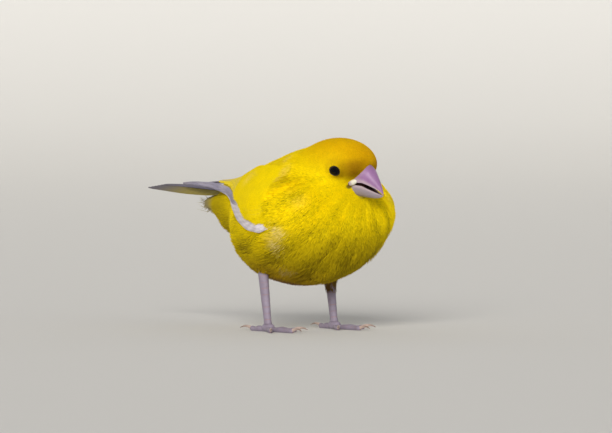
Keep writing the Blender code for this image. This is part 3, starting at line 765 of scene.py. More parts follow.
class Value:
    """A shader's number, which sums and products turn into Math nodes."""

    def __init__(self, finish, socket):
        self.finish, self.socket = finish, socket

    def math(self, operation, *others):
        """One Math node on this number and others."""
        return self.finish.node("ShaderNodeMath", {"operation": operation}, enumerate((self, *others)))

    def __add__(self, other):
        return self.math("ADD", other)

    def __sub__(self, other):
        return self.math("SUBTRACT", other)

    def __rsub__(self, other):
        return (self * -1.0) + other

    def __mul__(self, other):
        return self.math("MULTIPLY", other)

    __radd__, __rmul__ = __add__, __mul__

    def between(self, low, high):
        """0 below low, 1 above high, and a smooth ramp between. High may be the lesser."""
        flip = float(high < low)
        ends = {"From Min": min(low, high), "From Max": max(low, high), "To Min": flip, "To Max": 1 - flip}
        return self.finish.node("ShaderNodeMapRange", {"interpolation_type": "SMOOTHSTEP"}, {"Value": self, **ends})


class Finish:
    """A material whose shader is written as sums."""

    def __init__(self, name, roughness=0.6, **constants):
        self.material = bpy.data.materials.new(name)
        self.material.use_nodes = True
        self.tree = self.material.node_tree
        self.shader = self.tree.nodes["Principled BSDF"]
        self.shader.inputs["Roughness"].default_value = roughness
        for key, value in constants.items():
            self.shader.inputs[key.replace("_", " ").title().replace("Ior", "IOR")].default_value = value

    def feed(self, socket, value):
        """Puts a number, a colour or another node's output into a socket."""
        if isinstance(value, Value):
            self.tree.links.new(value.socket, socket)
        else:
            socket.default_value = value

    def node(self, kind, settings=(), sockets=(), output=0):
        """Any node, by its type, then its settings, then what goes into its sockets."""
        made = self.tree.nodes.new(kind)
        for key, value in dict(settings).items():
            setattr(made, key, value)
        for key, value in dict(sockets).items():
            self.feed(made.inputs[key], value)
        return Value(self, made.outputs[output])

    def where(self):
        """The place in the object's own coordinates."""
        return self.node("ShaderNodeTexCoord", output="Object")

    def value(self, name):
        """An attribute of the piece."""
        return self.node("ShaderNodeAttribute", {"attribute_name": name}, output="Fac")

    def height(self):
        """How high the place is."""
        return self.node("ShaderNodeSeparateXYZ", sockets={"Vector": self.where()}, output="Z")

    def vector(self, operation, a, b, output=0):
        """One Vector Math node."""
        return self.node("ShaderNodeVectorMath", {"operation": operation}, {0: a, 1: b}, output)

    def near(self, centre, half, soft):
        """1 inside an ellipsoid in the bird's millimetres and 0 past it, over a soft share of its size."""
        middle = tuple(place(np.array(centre, float)))
        local = self.vector("SUBTRACT", self.where(), middle)
        local = self.vector("DIVIDE", local, tuple(np.array(half, float) * MM))
        length = self.vector("LENGTH", local, (0, 0, 0), "Value")
        return length.between(1 + soft, 1 - soft)

    def noise(self, scale, detail=2.0, stretch=(1, 1, 1)):
        """A noise over the place, in features per metre, from 0 to 1."""
        vector = self.vector("MULTIPLY", self.where(), stretch)
        return self.node("ShaderNodeTexNoise", sockets={"Vector": vector, "Scale": scale, "Detail": detail})

    def mix(self, share, a, b, blend_type="MIX"):
        """A colour between two, or the first one blended with the second in another way."""
        a, b = (v if isinstance(v, Value) else (*v, 1.0) for v in (a, b))
        settings = {"data_type": "RGBA", "blend_type": blend_type}
        return self.node("ShaderNodeMix", settings, {"Factor": share, 6: a, 7: b}, 2)

    def scaled(self, colour, share):
        """A colour times a number."""
        grey = self.node("ShaderNodeCombineColor", sockets={"Red": share, "Green": share, "Blue": share})
        return self.mix(1.0, colour, grey, "MULTIPLY")

    def bump(self, height, distance):
        """Bends the normal by a height."""
        bent = self.node("ShaderNodeBump", sockets={"Height": height, "Distance": distance}, output="Normal")
        self.feed(self.shader.inputs["Normal"], bent)

    def colour(self, colour):
        """Sets the base colour."""
        self.feed(self.shader.inputs["Base Color"], colour if isinstance(colour, Value) else (*colour, 1.0))
        return self.material


LEMON = (0.93, 0.71, 0.001)
CROWN = (0.7, 0.38, 0.001)
SHADE = (0.2, 0.12, 0.003)
# Brownish painted shade on the lores and round the eyes
LORE_SHADE = (0.38, 0.17, 0.004)
# Painted shade in and round the mouth
MOUTH_SHADE = (0.07, 0.025, 0.02)
RUSSET = (0.36, 0.19, 0.01)
# Brown painted shade on the thighs' down
SHADE_BROWN = (0.16, 0.08, 0.035)
GREY = (0.24, 0.22, 0.17)
# Olive for painted shade on the underside
SHADE_OLIVE = (0.32, 0.23, 0.003)
WHITE = (0.86, 0.79, 0.82)
LAVENDER = (0.27, 0.25, 0.35)
SHAFT = (0.4, 0.33, 0.16)
# Painted shade: the tail's white-grey webs and yellow edges in the purple-grey and dull yellow they take in shade
SHADED_TAIL_WEB = (0.2, 0.18, 0.25)
SHADED_TAIL_EDGE = (0.33, 0.26, 0.02)
TAIL_DARK = (0.12, 0.11, 0.14)
GROOVES = (0.36, 0.2, 0.17)
HORN_ROOT = (0.36, 0.25, 0.3)
HORN_EDGE = (0.5, 0.4, 0.43)
HORN_TIP = (0.34, 0.2, 0.28)
PALATE_SHADE = (0.07, 0.025, 0.03)
GAPE_END_SHADE = (0.1, 0.04, 0.03)
LID_SKIN = (0.02, 0.014, 0.01)

# Two tones of one thing
LEG_SKIN = ((0.21, 0.165, 0.21), (0.34, 0.3, 0.39))
PINK_HORN = ((0.225, 0.105, 0.24), (0.36, 0.19, 0.385))
PALE_HORN = ((0.21, 0.165, 0.2), (0.35, 0.3, 0.335))
CLAW_HORN = ((0.55, 0.42, 0.36), (0.25, 0.17, 0.14))
GAPE_SKIN = ((0.7, 0.67, 0.54), (0.4, 0.34, 0.36))
EYE_TONES = ((0.002, 0.002, 0.003), (0.008, 0.005, 0.004))

# Heights in metres between which painted shade turns the plumage olive, and between which the gaps between its strands
# get deeper painted shade
BELLY_SHADE_HEIGHTS = (0.041, 0.015)
GAP_SHADE_HEIGHTS = (0.052, 0.026)
EYE_SHADE = (3.7, 3.7, 3.7)
BARB_SLANT = 9.0
BARB_STEPS = 95.0

# Soft patches of colour: the axes of their middle, the middle, half sizes, softness, share and colour. One whose
# middle is at +X comes on both sides.
AXES = {"bird": np.array, "head": from_head, "bill": from_bill}
HEAD_PATCHES = (
    ("head", (0.0, -1.0, 7.0), (13.0, 13.0, 7.0), 0.6, 0.75, CROWN),  # crown
    ("head", (0.0, -8.0, 4.0), (7.0, 5.0, 4.5), 0.6, 0.75, CROWN),  # forehead
    ("head", (5.2, -8.0, 0.4), (3.4, 3.8, 2.1), 1.0, 0.85, LORE_SHADE),  # lores, painted shade
    ("head", (5.4, -8.2, 2.9), (3.8, 3.4, 1.4), 1.0, 0.6, LORE_SHADE),  # over the eye, painted shade
    ("bill", (4.2, 0.6, -1.9), (0.9, 0.9, 0.6), 0.5, 0.8, MOUTH_SHADE),  # corner of the mouth, painted shade
)
BODY_PATCHES = (
    ("bird", (0, 10, 25), (26.0, 20.0, 9.0), 0.5, 0.2, SHADE_OLIVE),  # belly, painted shade
    ("bird", (0, -14, 20), (18.0, 18.0, 12.0), 0.6, 0.6, SHADE_OLIVE),  # low breast, painted shade
    ("bill", (0, 2.0, -8.0), (6.0, 6.0, 5.0), 0.7, 0.3, SHADE_OLIVE),  # throat, painted shade under the bill
    ("bird", (0, 30, 33), (14.0, 13.0, 9.0), 0.5, 0.75, SHADE_OLIVE),  # vent, painted shade
    ("bird", (-8, -3, 16), (12.0, 11.0, 5.5), 0.8, 0.45, RUSSET),  # before the right leg
    ("bird", (0, 0, 11.5), (18.0, 7.0, 5.5), 0.3, 0.85, SHADE_BROWN),  # sheaths of the shanks, painted shade
    ("bird", (0, 43, 36.0), (6.0, 6.0, 6.0), 0.5, 0.8, GREY),  # under the tail
)


def patched(finish, colour, patches):
    """The colour with patches mixed over it one after the other."""
    for axes, middle, half, soft, share, patch in patches:
        for side in (1.0, -1.0) if middle[0] > 0 else (1.0,):
            centre = AXES[axes](np.array(middle, float) * (side, 1.0, 1.0))
            colour = finish.mix(finish.near(centre, half, soft) * share, colour, patch)
    return colour


def plumage_colour(finish):
    """The body's markings by place: lemon with an orange crown, and painted shade, brownish on the lores, over them
    and round the eyes, and olive on the belly, the vent and lower down.
    """
    colour = patched(finish, LEMON, HEAD_PATCHES)
    for _, side in SIDES:
        # painted shade round each eye
        colour = finish.mix(finish.near(eye_place(side)[0], EYE_SHADE, 0.2) * 0.3, colour, LORE_SHADE)
    # painted shade: the plumage turns olive lower down the body
    colour = finish.mix(finish.height().between(*BELLY_SHADE_HEIGHTS) * 0.92, colour, SHADE_OLIVE)
    colour = patched(finish, colour, BODY_PATCHES)
    return finish.scaled(colour, finish.noise(120.0, 3.0) * 0.16 + 0.92)


def coat_finish():
    """Body feathers: the markings, each strand a little lighter or darker, painted shade on the darker strands that
    deepens lower down, and darker towards its root as painted shade.
    """
    finish = Finish("plumage_coat", 0.75, specular_ior_level=0.05)
    tone, reached = finish.value("tone"), finish.value("reached")
    colour = plumage_colour(finish)
    streak = tone.between(0.35, 0.75) * finish.value("pale")
    colour = finish.mix(streak, colour, WHITE)
    # painted shade in the gaps between strands, deeper lower down
    low = finish.height().between(*GAP_SHADE_HEIGHTS)
    colour = finish.mix(tone.between(0.42, 0.05) * (low * 0.55 + 0.2), colour, SHADE)
    # painted shade towards each strand's root
    bright = (tone * 0.7 + 0.65) * (reached * 0.16 + 0.84)
    return finish.colour(finish.scaled(colour, bright))


def skin_finish():
    """Skin under the coat, with the same markings and painted shade round the mouth, and the bare scaly skin of the
    legs.
    """
    finish = Finish("skin", 0.55, specular_ior_level=0.3)
    bare = finish.value("bare")
    under = finish.scaled(plumage_colour(finish), 0.55 + finish.noise(900.0) * 0.2)
    # painted shade on the skin round the mouth
    mouth = finish.near(from_bill(np.array([0, -0.6, -0.6])), (3.7, 3.4, 1.5), 0.15)
    under = finish.mix(mouth, under, MOUTH_SHADE)
    leg = finish.mix(finish.noise(500.0, 3.0), *LEG_SKIN)
    leg = finish.mix(finish.value("groove") * 0.6, leg, GROOVES)
    return finish.colour(finish.mix(bare, under, leg))


def vane_finish(name, web, edge, dark):
    """Vanes: a web with a paler outer edge, a fine shaft, and barbs that slant away from it."""
    finish = Finish(name, 0.6, specular_ior_level=0.12)
    across, reached, tint = finish.value("across"), finish.value("reached"), finish.value("tint")
    colour = finish.mix(across.between(0.15, 0.5), web, edge)
    colour = finish.mix(tint, colour, dark)
    barbs = (across.math("ABSOLUTE") * BARB_SLANT - reached * BARB_STEPS).math("SINE")
    shaft = across.math("ABSOLUTE").between(0.09, 0.02)
    colour = finish.mix(shaft * 0.2, colour, SHAFT)
    colour = finish.scaled(colour, barbs * 0.05 + 0.93)
    finish.bump(barbs * 0.5 + shaft * 1.2, 0.00006)
    return finish.colour(colour)


def bill_finish():
    """Horn, pink above and paler below and along its cutting edges, and dark inside the mouth as painted shade."""
    finish = Finish("bill_horn", 0.4, specular_ior_level=0.35)
    inside, edge, lower, reached = (finish.value(k) for k in ("inside", "edge", "lower", "reached"))
    grain = finish.noise(700.0, 3.0, stretch=(1, 0.35, 0.35))
    pink = finish.mix(reached.between(0.25, 0.0) * 0.5, finish.mix(grain, *PINK_HORN), HORN_ROOT)
    colour = finish.mix(lower, pink, finish.mix(grain, *PALE_HORN))
    colour = finish.mix(edge * 0.7, colour, HORN_EDGE)
    colour = finish.mix(reached.between(0.8, 1.0) * 0.3, colour, HORN_TIP)
    colour = finish.mix(inside, colour, PALATE_SHADE)
    finish.bump(grain, 0.00008)
    return finish.colour(colour)


# Settings


def size_setting(name, description, default, precision=4):
    """A length that the user may change, in metres."""
    return bpy.props.FloatProperty(
        name=name, description=description, default=default, unit="LENGTH", precision=precision
    )


def count_setting(name, description, default, least):
    """A number of things that the user may change."""
    return bpy.props.IntProperty(name=name, description=description, default=default, min=least)


def share_setting(name, description, default, least=0.0):
    """A plain number that the user may change."""
    return bpy.props.FloatProperty(name=name, description=description, default=default, min=least)


def angle_setting(name, description, degrees):
    """An angle that the user may change."""
    return bpy.props.FloatProperty(
        name=name, description=description, default=math.radians(degrees), subtype="ANGLE"
    )


class CoatSettings(bpy.types.PropertyGroup):
    """Sizes of the body's coat."""

    tufts: count_setting("Tufts", "Tufts on head, neck and trunk", 38000, 500)
    strand: size_setting("Strand", "Breadth of one strand", 0.0003, 5)
    length: share_setting("Length", "Scale of the tufts' length", 1.0, 0.2)
    seed: count_setting("Seed", "Start of the random numbers", 4, 0)


class WingSettings(bpy.types.PropertyGroup):
    """Sizes of the wings' feathers."""

    coverts: count_setting("Coverts", "Small covert tufts on each wing", 3600, 10)
    vane: size_setting("Vane", "Half width of a flight feather", 0.0032)


class TailSettings(bpy.types.PropertyGroup):
    """Sizes of the tail."""

    vanes: count_setting("Vanes", "Feathers in the tail", 12, 4)
    vane: size_setting("Vane", "Half width of a tail feather", 0.003)


class LegSettings(bpy.types.PropertyGroup):
    """Sizes of the legs' covering."""

    down: count_setting("Down", "Tufts of down on each thigh", 700, 10)
    plates: count_setting("Plates", "Scutes down the front of a shank", 9, 2)


class EyeSettings(bpy.types.PropertyGroup):
    """Sizes of the eyes."""

    lid: size_setting("Lid", "Thickness of the rim of the lids", 0.00013, 5)


class StageSettings(bpy.types.PropertyGroup):
    """Camera, floor and lights."""

    distance: size_setting("Distance", "From the camera to the feet", 1.5)
    azimuth: angle_setting("Azimuth", "Of the camera round the bird", -38.0)
    elevation: angle_setting("Elevation", "Of the camera over the feet", 3.0)
    key: share_setting("Key", "Strength of the main light", 2.75)
    fill: share_setting("Fill", "Strength of the filling light", 0.35)
    floor: bpy.props.FloatVectorProperty(
        name="Floor", description="Colour of the floor", default=(0.72, 0.71, 0.68), subtype="COLOR"
    )


def bordered(share):
    """A share of the unwrap, with a border round it."""
    return 0.01 + 0.98 * share


def body_unwrap(roots):
    """The skin's own unwrap: angle across and share of the way down."""
    return bordered(np.stack([np.mod(roots[:, 1], 1.0), roots[:, 0]], -1))


def underside(b):
    """0 along the back and 1 along the belly."""
    return (1 - np.cos(2 * np.pi * b)) / 2


def coat_length(a, b, points):
    """Length of the body's tufts: shortest by the bill and round the eyes, longest on belly and vent."""
    length = np.interp(a, *COAT_LENGTHS) * (1 + 0.3 * underside(b) * smooth(0.2, 0.5, a))
    bill = np.linalg.norm(points - from_bill(np.array([0, 0.5, 0.0])), axis=-1)
    length = np.minimum(length, 0.7 + 0.14 * np.clip(bill - 3.5, 0, None))
    for _, side in SIDES:
        apart = np.linalg.norm(points - eye_place(side)[0], axis=-1)
        length = np.minimum(length, 0.75 + 0.45 * np.clip(apart - 3.0, 0, None))
    return length


def coat_depth(length):
    """How deep under the outline tufts of that length are rooted."""
    return np.clip(0.33 * length, 0.25, 1.4)


def bill_taper(along, power):
    """How the bill narrows, from 1 at its root to 0 at its tip."""
    return np.clip(1 - np.clip(along, 0, None) / BILL_LENGTH, 0, 1) ** power


def in_bill(points, border):
    """Whether places lie in the bill's base, grown by a border."""
    x, y, z = np.moveaxis(to_bill(points), -1, 0)
    dome = np.where(z > 0, UPPER_DEPTH, LOWER_DEPTH + 0.6) + border
    inside = (x / (BILL_HALF_WIDTH + border)) ** 2 + (z / dome) ** 2 < 1
    return inside & (-y > -GAPE_BEND - 0.8)


def under_wing(points):
    """Whether places on the body are hidden by a folded wing."""
    share = (points[..., 1] - WING_ALONG[0]) / (WING_ALONG[-1] - WING_ALONG[0])
    low = np.interp(points[..., 1], WING_ALONG, WING_LOWER_EDGE) + 3.5
    high = np.interp(points[..., 1], WING_ALONG, WING_UPPER_EDGE) + 4.0
    return (share > 0.2) & (share < 0.95) & (points[..., 2] > low) & (np.abs(points[..., 0]) > high)


PALE_SPOTS = (
    # place on the right side, reach and whiteness
    ((-20.9, -19.5, 31.8), 1.6, 0.32),  # bars in front of the wing
    ((-19.6, -17.5, 27.6), 1.7, 0.2),
    ((-19.3, -16.0, 25.1), 1.2, 0.2),
    ((-13.3, -14.2, 19.0), 1.2, 0.3),
    ((-12.5, -12.4, 49.5), 1.6, 0.12),  # beside the neck
    ((-9.3, -9.0, 53.2), 1.3, 0.3),
    ((-14.2, -11.2, 48.2), 1.2, 0.2),
    ((-7.6, 16.5, 46.0), 1.7, 0.45),  # on the wing's upper edge
    ((-16.0, -22.4, 41.5), 2.2, 0.05),
    ((-14.3, 4.2, 45.6), 2.0, 0.5),  # on the wing
)


def pale_places(points):
    """Where pale streaks show, on both sides: exp of minus the squared distance over the reach."""
    folded = np.concatenate([-np.abs(points[..., :1]), points[..., 1:]], -1)
    out = np.zeros(points.shape[:-1])
    for centre, size, weight in PALE_SPOTS:
        apart = np.linalg.norm(folded - np.array(centre), axis=-1)
        out = np.maximum(out, weight * np.exp(-((apart / size) ** 2)))
    return out


class CANARY_OT_body(bpy.types.Operator):
    """Build the skin of body and legs, and the coat over head, neck and trunk"""

    bl_idname = "canary.body"
    bl_label = "Body and coat"

    def execute(self, context):
        settings = context.scene.canary_coat
        legs = context.scene.canary_legs
        rng = np.random.default_rng(settings.seed)
        rows, columns = SKIN_GRID
        sheet = body_sheet(rows, columns)
        a, b = np.meshgrid(np.linspace(0, 1, rows), np.arange(columns) / columns, indexing="ij")
        depth = coat_depth(coat_length(a, b, sheet.points) * settings.length) + SKIN_UNDER_ROOTS
        parts = Parts()
        points = sheet.points - sheet.normals * depth[..., None]
        parts.grid(points, bordered(np.stack([b, a], -1)), closed=True, caps=True, bare=0.0, groove=0.0)
        add_legs(parts, legs.plates)
        nodes = ["head", "neck", "trunk"]
        for side, _ in SIDES:
            nodes += [f"{side}_thigh", f"{side}_shank", f"{side}_foot"]
            nodes += [f"{side}_{toe.name}_toe" for toe in TOES]
        parts.build("skin", skin_finish(), "plumage", nodes=nodes)

        count = tuft_count(settings.tufts)

        def density(grid_a, grid_b):
            points = sheet.at(grid_a, grid_b)[0]
            thick = 1 / np.clip(coat_length(grid_a, grid_b, points), 0.7, 6.0) ** 1.1
            return thick * np.where(in_bill(points, -0.4) | under_wing(points), 0.0, 1.0)

        a, b = sheet.spread(count, density, rng)
        a = np.clip(a + rng.normal(0, 0.0012, count), 0.002, 0.998)
        b = b + rng.normal(0, 0.0015, count)
        points = sheet.at(a, b)[0]
        kept = ~in_bill(points, -0.3) & ~under_wing(points)
        for _, side in SIDES:
            offset, ahead = aside_of(points, *eye_place(side))
            kept &= (np.linalg.norm(offset, axis=-1) > EYE_SEEN + ROOTS_CLEAR) | (ahead < 0)
        a, b, points = a[kept], b[kept], points[kept]
        length = coat_length(a, b, points) * settings.length
        under = underside(b)
        low = smooth(0.3, 0.9, under) * smooth(0.2, 0.45, a)
        mantle = smooth(0.4, 0.5, a) * smooth(0.85, 0.72, a) * smooth(0.2, 0.05, under)
        streaks = ripple(a, b, (55, 110), 14.0, rng)
        swirl = ripple(a, b, (6, 18), 9.0, rng)
        folds = ripple(a, b, (16, 34), 6.0, rng)
        clumps = (0.12 + 0.88 * low) * smooth(0.15, 0.3, a)
        coat = Tufts(
            sheet, a, b, length, rng, settings.strand / MM * (1 + 0.2 * low), coat_depth(length),
            rise=0.1 + clumps * (0.2 * streaks + 0.1 * low * folds) + 0.6 * mantle,
            fan=0.75,
            turn=15.0 * clumps * swirl,
            loose=0.25 + 0.75 * low,
            spread=0.06 + 0.08 * low,
            # partly the coat's own streaks, partly painted light and shade: the waves that raise tufts also lighten
            # them and darken the sunken ones
            shade=0.17 * clumps * streaks + 0.16 * low * folds,
        )
        for _, side in SIDES:
            coat.keep_clear(*eye_place(side), EYE_SEEN + STRANDS_CLEAR)
        pale = pale_places(points)
        finish = coat_finish()
        order = np.arange(len(a)) * COAT_PIECES // len(a)
        for n in range(COAT_PIECES):
            coat.build(f"coat_{n + 1}", np.nonzero(order == n)[0], finish, body_unwrap, pale, "plumage")
        return {"FINISHED"}


def leg_line(side):
    """Knee, ankle and foot."""
    knee = np.array([side * HIP_SPREAD, KNEE[0], KNEE[1]])
    ankle = np.array([side * FOOT_SPREAD, ANKLE[0], ANKLE[1]])
    foot = np.array([side * FOOT_SPREAD, TOE_ROOT[0], TOE_ROOT[1]])
    return knee, ankle, foot


def thigh_sheet(side_name, side, lift=0.0):
    """The thigh's outline, by share of the way down it and of the way round it."""
    knee, ankle, foot = leg_line(side)
    end = ankle + (foot - ankle) * (DOWN_TO[side_name] - 0.02)
    t = np.linspace(0, 1, 24)[:, None]
    points = knee * (1 - t) ** 2 + 2 * ankle * t * (1 - t) + end * t * t
    radii = THIGH_END_RADIUS + THIGH_RADIUS * (1 - t[:, 0]) ** 1.3 + lift
    rings = tube(points, radii, 32, back=(0, 1.0, 0))
    return Sheet(rings, unit(rings - points[:, None]), closed=True)


def plate_bumps(along, turn, plates, depth, front):
    """Overlapping plates: a height that climbs along each plate and drops to the next, on the front half only."""
    saw = np.mod(along * plates, 1.0)
    edge = smooth(0.0, 0.12, saw) * (0.55 + 0.45 * saw)
    weight = smooth(-0.2, 0.35, np.sin(turn) * front)
    return depth * (edge - 0.6) * weight, (1 - smooth(0.0, 0.14, saw)) * weight


def add_legs(parts, plates):
    """Thighs, shanks, feet and toes of bare, scaly skin."""
    for side_name, side in SIDES:
        _, ankle, foot = leg_line(side)
        parts.rings(thigh_sheet(side_name, side, -THIGH_SKIN_DEPTH).points, bare=0.35, groove=0.0)

        t = np.linspace(SHANK_GIRTH[0][0], SHANK_GIRTH[0][-1], 90)
        turn = around(28)
        bump, groove = plate_bumps(t[:, None], turn[None], plates, SHANK_PLATE, -1.0)
        waist = SHANK_RADIUS * np.interp(t, *SHANK_GIRTH)[:, None]
        radii = waist * (1 - 0.12 * np.abs(np.cos(turn))[None]) + bump
        shank = tube(ankle + (foot - ankle) * t[:, None], radii, len(turn), squeeze=0.95, back=(0, 1.0, 0))
        parts.rings(shank, (0.52, 0.52), bare=1.0, groove=groove)

        # the pad of the foot is an egg that the floor flattens
        s = np.linspace(0, np.pi, 14)
        pad = foot + np.stack([0 * s, -0.1 + 2.3 * np.cos(s), -0.55 + 0 * s], -1)
        pad = tube(pad, 1.45 * np.sin(s) ** 0.6 + 0.02, 24, floor=0.0)
        parts.rings(pad, (0.54, 0.54), bare=1.0, groove=0.0)
        for toe in TOES:
            add_toe(parts, side, toe, foot)


def toe_direction(side, toe):
    """The level way a toe points."""
    turned = math.radians(toe.turn)
    return np.array([side * math.sin(turned), -math.cos(turned), 0])


def add_toe(parts, side, toe, foot):
    """One toe: plates over its top, swollen pads under its joints."""
    forward = toe_direction(side, toe)
    root = np.array([foot[0], foot[1], 0])
    t = np.linspace(0, 1, 60)
    turn = around(20)
    radius = toe.radius * (1 + 0.1 * np.cos(t * 4 * np.pi)) * (1 - 0.18 * t)
    radius = radius * np.sqrt(np.clip(1 - (np.clip(t - 0.93, 0, 1) / 0.072) ** 2, 0.02, 1))
    centre = root + forward * (0.3 + t[:, None] * (toe.length - 0.3)) + UP * (radius * TOE_SUNK)[:, None]
    bump, groove = plate_bumps(t[:, None], turn[None], toe.plates, TOE_PLATE, 1.0)
    rings = tube(centre, radius[:, None] * (1 + bump), len(turn), floor=0.0)
    parts.rings(rings, (0.56, 0.56), bare=1.0, groove=groove)


def add_claw(parts, side, toe):
    """One claw: a hook that rises from its toe as a sine, falls to the floor and narrows to a point."""
    bend = np.linspace(0, 1, 14)
    ahead = toe.length - CLAW_ROOT + bend * (toe.claw + CLAW_ROOT)
    height = 0.75 + CLAW_RISE * np.sin(bend * 2.6) - 0.55 * bend
    foot = np.array([side * FOOT_SPREAD, TOE_ROOT[0], 0])
    line = foot + toe_direction(side, toe) * ahead[:, None] + UP * height[:, None]
    radii = CLAW_RADIUS * (1 - bend) ** 0.6 * (1 - 0.25 * bend) + 0.015
    parts.rings(tube(line, radii, 12, squeeze=0.7, floor=0.0), reached=bend[:, None])


class CANARY_OT_legs(bpy.types.Operator):
    """Build the down on the thighs and the claws"""

    bl_idname = "canary.legs"
    bl_label = "Thigh down and claws"

    def execute(self, context):
        settings = context.scene.canary_legs
        rng = np.random.default_rng(LEG_SEED)
        finish = coat_finish()
        claws = Parts()
        claw_nodes = []
        for side_name, side in SIDES:
            sheet = thigh_sheet(side_name, side)
            count = tuft_count(settings.down)
            a, b = sheet.spread(count, lambda p, q: 1.2 - 0.4 * p, rng)
            length = np.interp(a, *DOWN_LENGTHS) * rng.uniform(0.6, 1.2, count)
            a = np.clip(a, 0, 0.97) * (1.0 if side > 0 else 0.8)
            down = Tufts(sheet, a, b, length, rng, DOWN_STRAND, 0.25 * length, rise=0.1, fan=0.5)
            down.build(f"{side_name}_thigh_down", np.arange(count), finish, body_unwrap, np.zeros(count), "pale_down")
            for toe in TOES:
                add_claw(claws, side, toe)
                claw_nodes.append(f"{side_name}_{toe.name}_claw")
        horn = Finish("claw_horn", 0.35, specular_ior_level=0.5)
        horn.colour(horn.mix(horn.value("reached").between(0.1, 0.9), *CLAW_HORN))
        claws.build("claws", horn.material, "claw_horn", nodes=claw_nodes)
        return {"FINISHED"}


def beside_edge(sheet, a, off):
    """The second parameter of places that lie a distance off the wing's lower edge."""
    across = sheet.stretch(a, np.full_like(a, 0.5))[1]
    return 1 - off / np.maximum(across, 1e-6)


def band(a):
    """How broad the white band is there."""
    return np.interp(a, *BAND_BREADTH)


def add_primaries(parts, sheet, half):
    """Nine primaries. The outermost lies lowest and closest to the edge, and each next one over it."""
    t = np.linspace(0, 1, 46)
    for n in range(9):
        a = 0.003 + 0.028 * ((n - 3.5) / 4.5) ** 2 + (0.98 - 0.024 * n - 0.0045 * n * n) * t
        off = 0.2 + (band(a) - 0.2) * n / 7 * (1 - 0.45 * smooth(0.5, 1.0, t))
        tint = 0.03 + 0.07 * (n % 3) + 0.75 * smooth(0.52, 0.8, t)
        vane(parts, sheet, a, beside_edge(sheet, a, off), half * (0.3 + 0.08 * t[:, None]), 0.02 + 0.035 * n,
             (n, 0, 9), 0.85, tint[:, None], tip=0.12)


def add_secondaries(parts, sheet, half):
    """Eleven secondaries whose tips scallop the band, eight long ones over them, and three tertials on top."""
    t = np.linspace(0, 1, 30)
    for n in range(11):
        end = 0.72 - 0.054 * n
        a = end - 0.26 * (1 - t)
        off = band(np.array([end]))[0] + 1.5 + 5.0 * (1 - t) ** 1.3
        vane(parts, sheet, a, beside_edge(sheet, a, off), half * 0.6, 0.34 + 0.025 * n, (n, 1, 11), 0.8,
             ragged=0.08, tip=0.25)
    long = np.linspace(0, 1, 34)
    for n in range(8):
        a = 0.24 + (0.49 - 0.01 * n) * long
        off = band(a) + 2.2 + 1.2 * n * (1 - 0.35 * long)
        vane(parts, sheet, a, beside_edge(sheet, a, off), half * 0.55, 0.42 + 0.03 * n, (n, 2, 11), 0.8,
             0.3 * smooth(0.85, 1.0, long)[:, None], ragged=0.08)
    rim = np.linspace(-1, 1, VANE_COLUMNS)[None] ** 2
    for n in range(3):
        a = 0.26 + 0.015 * n + (0.46 - 0.04 * n) * t
        vane(parts, sheet, a, 0.24 - 0.09 * n + 0 * t, half * 0.8, 0.56 + 0.05 * n, (n, 3, 11), 0.7,
             0.05 + 0.6 * smooth(0.5, 0.95, t)[:, None] * rim, ragged=0.1)


class CANARY_OT_wings(bpy.types.Operator):
    """Build the folded wings: a web under them, their flight feathers and their coverts"""

    bl_idname = "canary.wings"
    bl_label = "Wings"

    def execute(self, context):
        settings = context.scene.canary_wings
        rng = np.random.default_rng(WING_SEED)
        finish = coat_finish()
        half = settings.vane / MM
        soft = vane_finish("wing_vane", LEMON, LEMON, LAVENDER)
        white = vane_finish("wing_edge_vane", WHITE, WHITE, LAVENDER)
        slot = "wing_plumage"
        for side_name, side in SIDES:
            sheet = wing_sheet(side, *WING_GRID)
            base = slice(0, int(WEB_LENGTH * len(sheet.points)))
            top, under = ((sheet.points - sheet.normals * depth)[base] for depth in WEB_DEPTHS)
            web, flights, vanes = Parts(), Parts(), Parts()
            web.plate(top, under, (0.5, 0.5), side < 0, bare=0.0, groove=0.0)
            web.build(f"{side_name}_wing_web", bpy.data.materials["skin"], slot, nodes=[f"{side_name}_wing_coverts"])
            add_primaries(flights, sheet, half)
            flights.build(f"{side_name}_primaries", white, slot, nodes=[f"{side_name}_wing_flights"], bake=True)
            add_secondaries(vanes, sheet, half)
            vanes.build(f"{side_name}_secondaries", soft, slot, bake=True)

            count = tuft_count(settings.coverts)
            a, b = sheet.spread(count, lambda p, q: covert_density(sheet, p, q), rng)
            length = np.interp(a, *COVERT_LENGTHS)
            coverts = Tufts(sheet, a, b, length, rng, COVERT_STRAND, 0.1 + 0 * length, rise=0.4, fan=0.8,
                            strands=7, turn=side * 3.0, loose=0.25, spread=0.06)
            coverts.points += coverts.lift_of(COVERT_LIFT)
            pale = 0.5 * pale_places(sheet.at(a, b)[0])
            coverts.build(f"{side_name}_coverts", np.arange(count), finish, bordered, pale, slot)
        return {"FINISHED"}


def covert_density(sheet, a, b):
    """Small coverts cover the front of the wing and its top, and leave the band and the tip bare."""
    back = 0.42 + 0.08 * smooth(0.6, 0.1, b)
    off = (1 - b) * sheet.stretch(a, np.full_like(b, 0.5))[1] + 1.2 * smooth(0.1, 0.0, a)
    return smooth(band(a) + 0.9, band(a) + 1.7, off) * (1 - smooth(back - 0.06, back, a)) + 1e-6


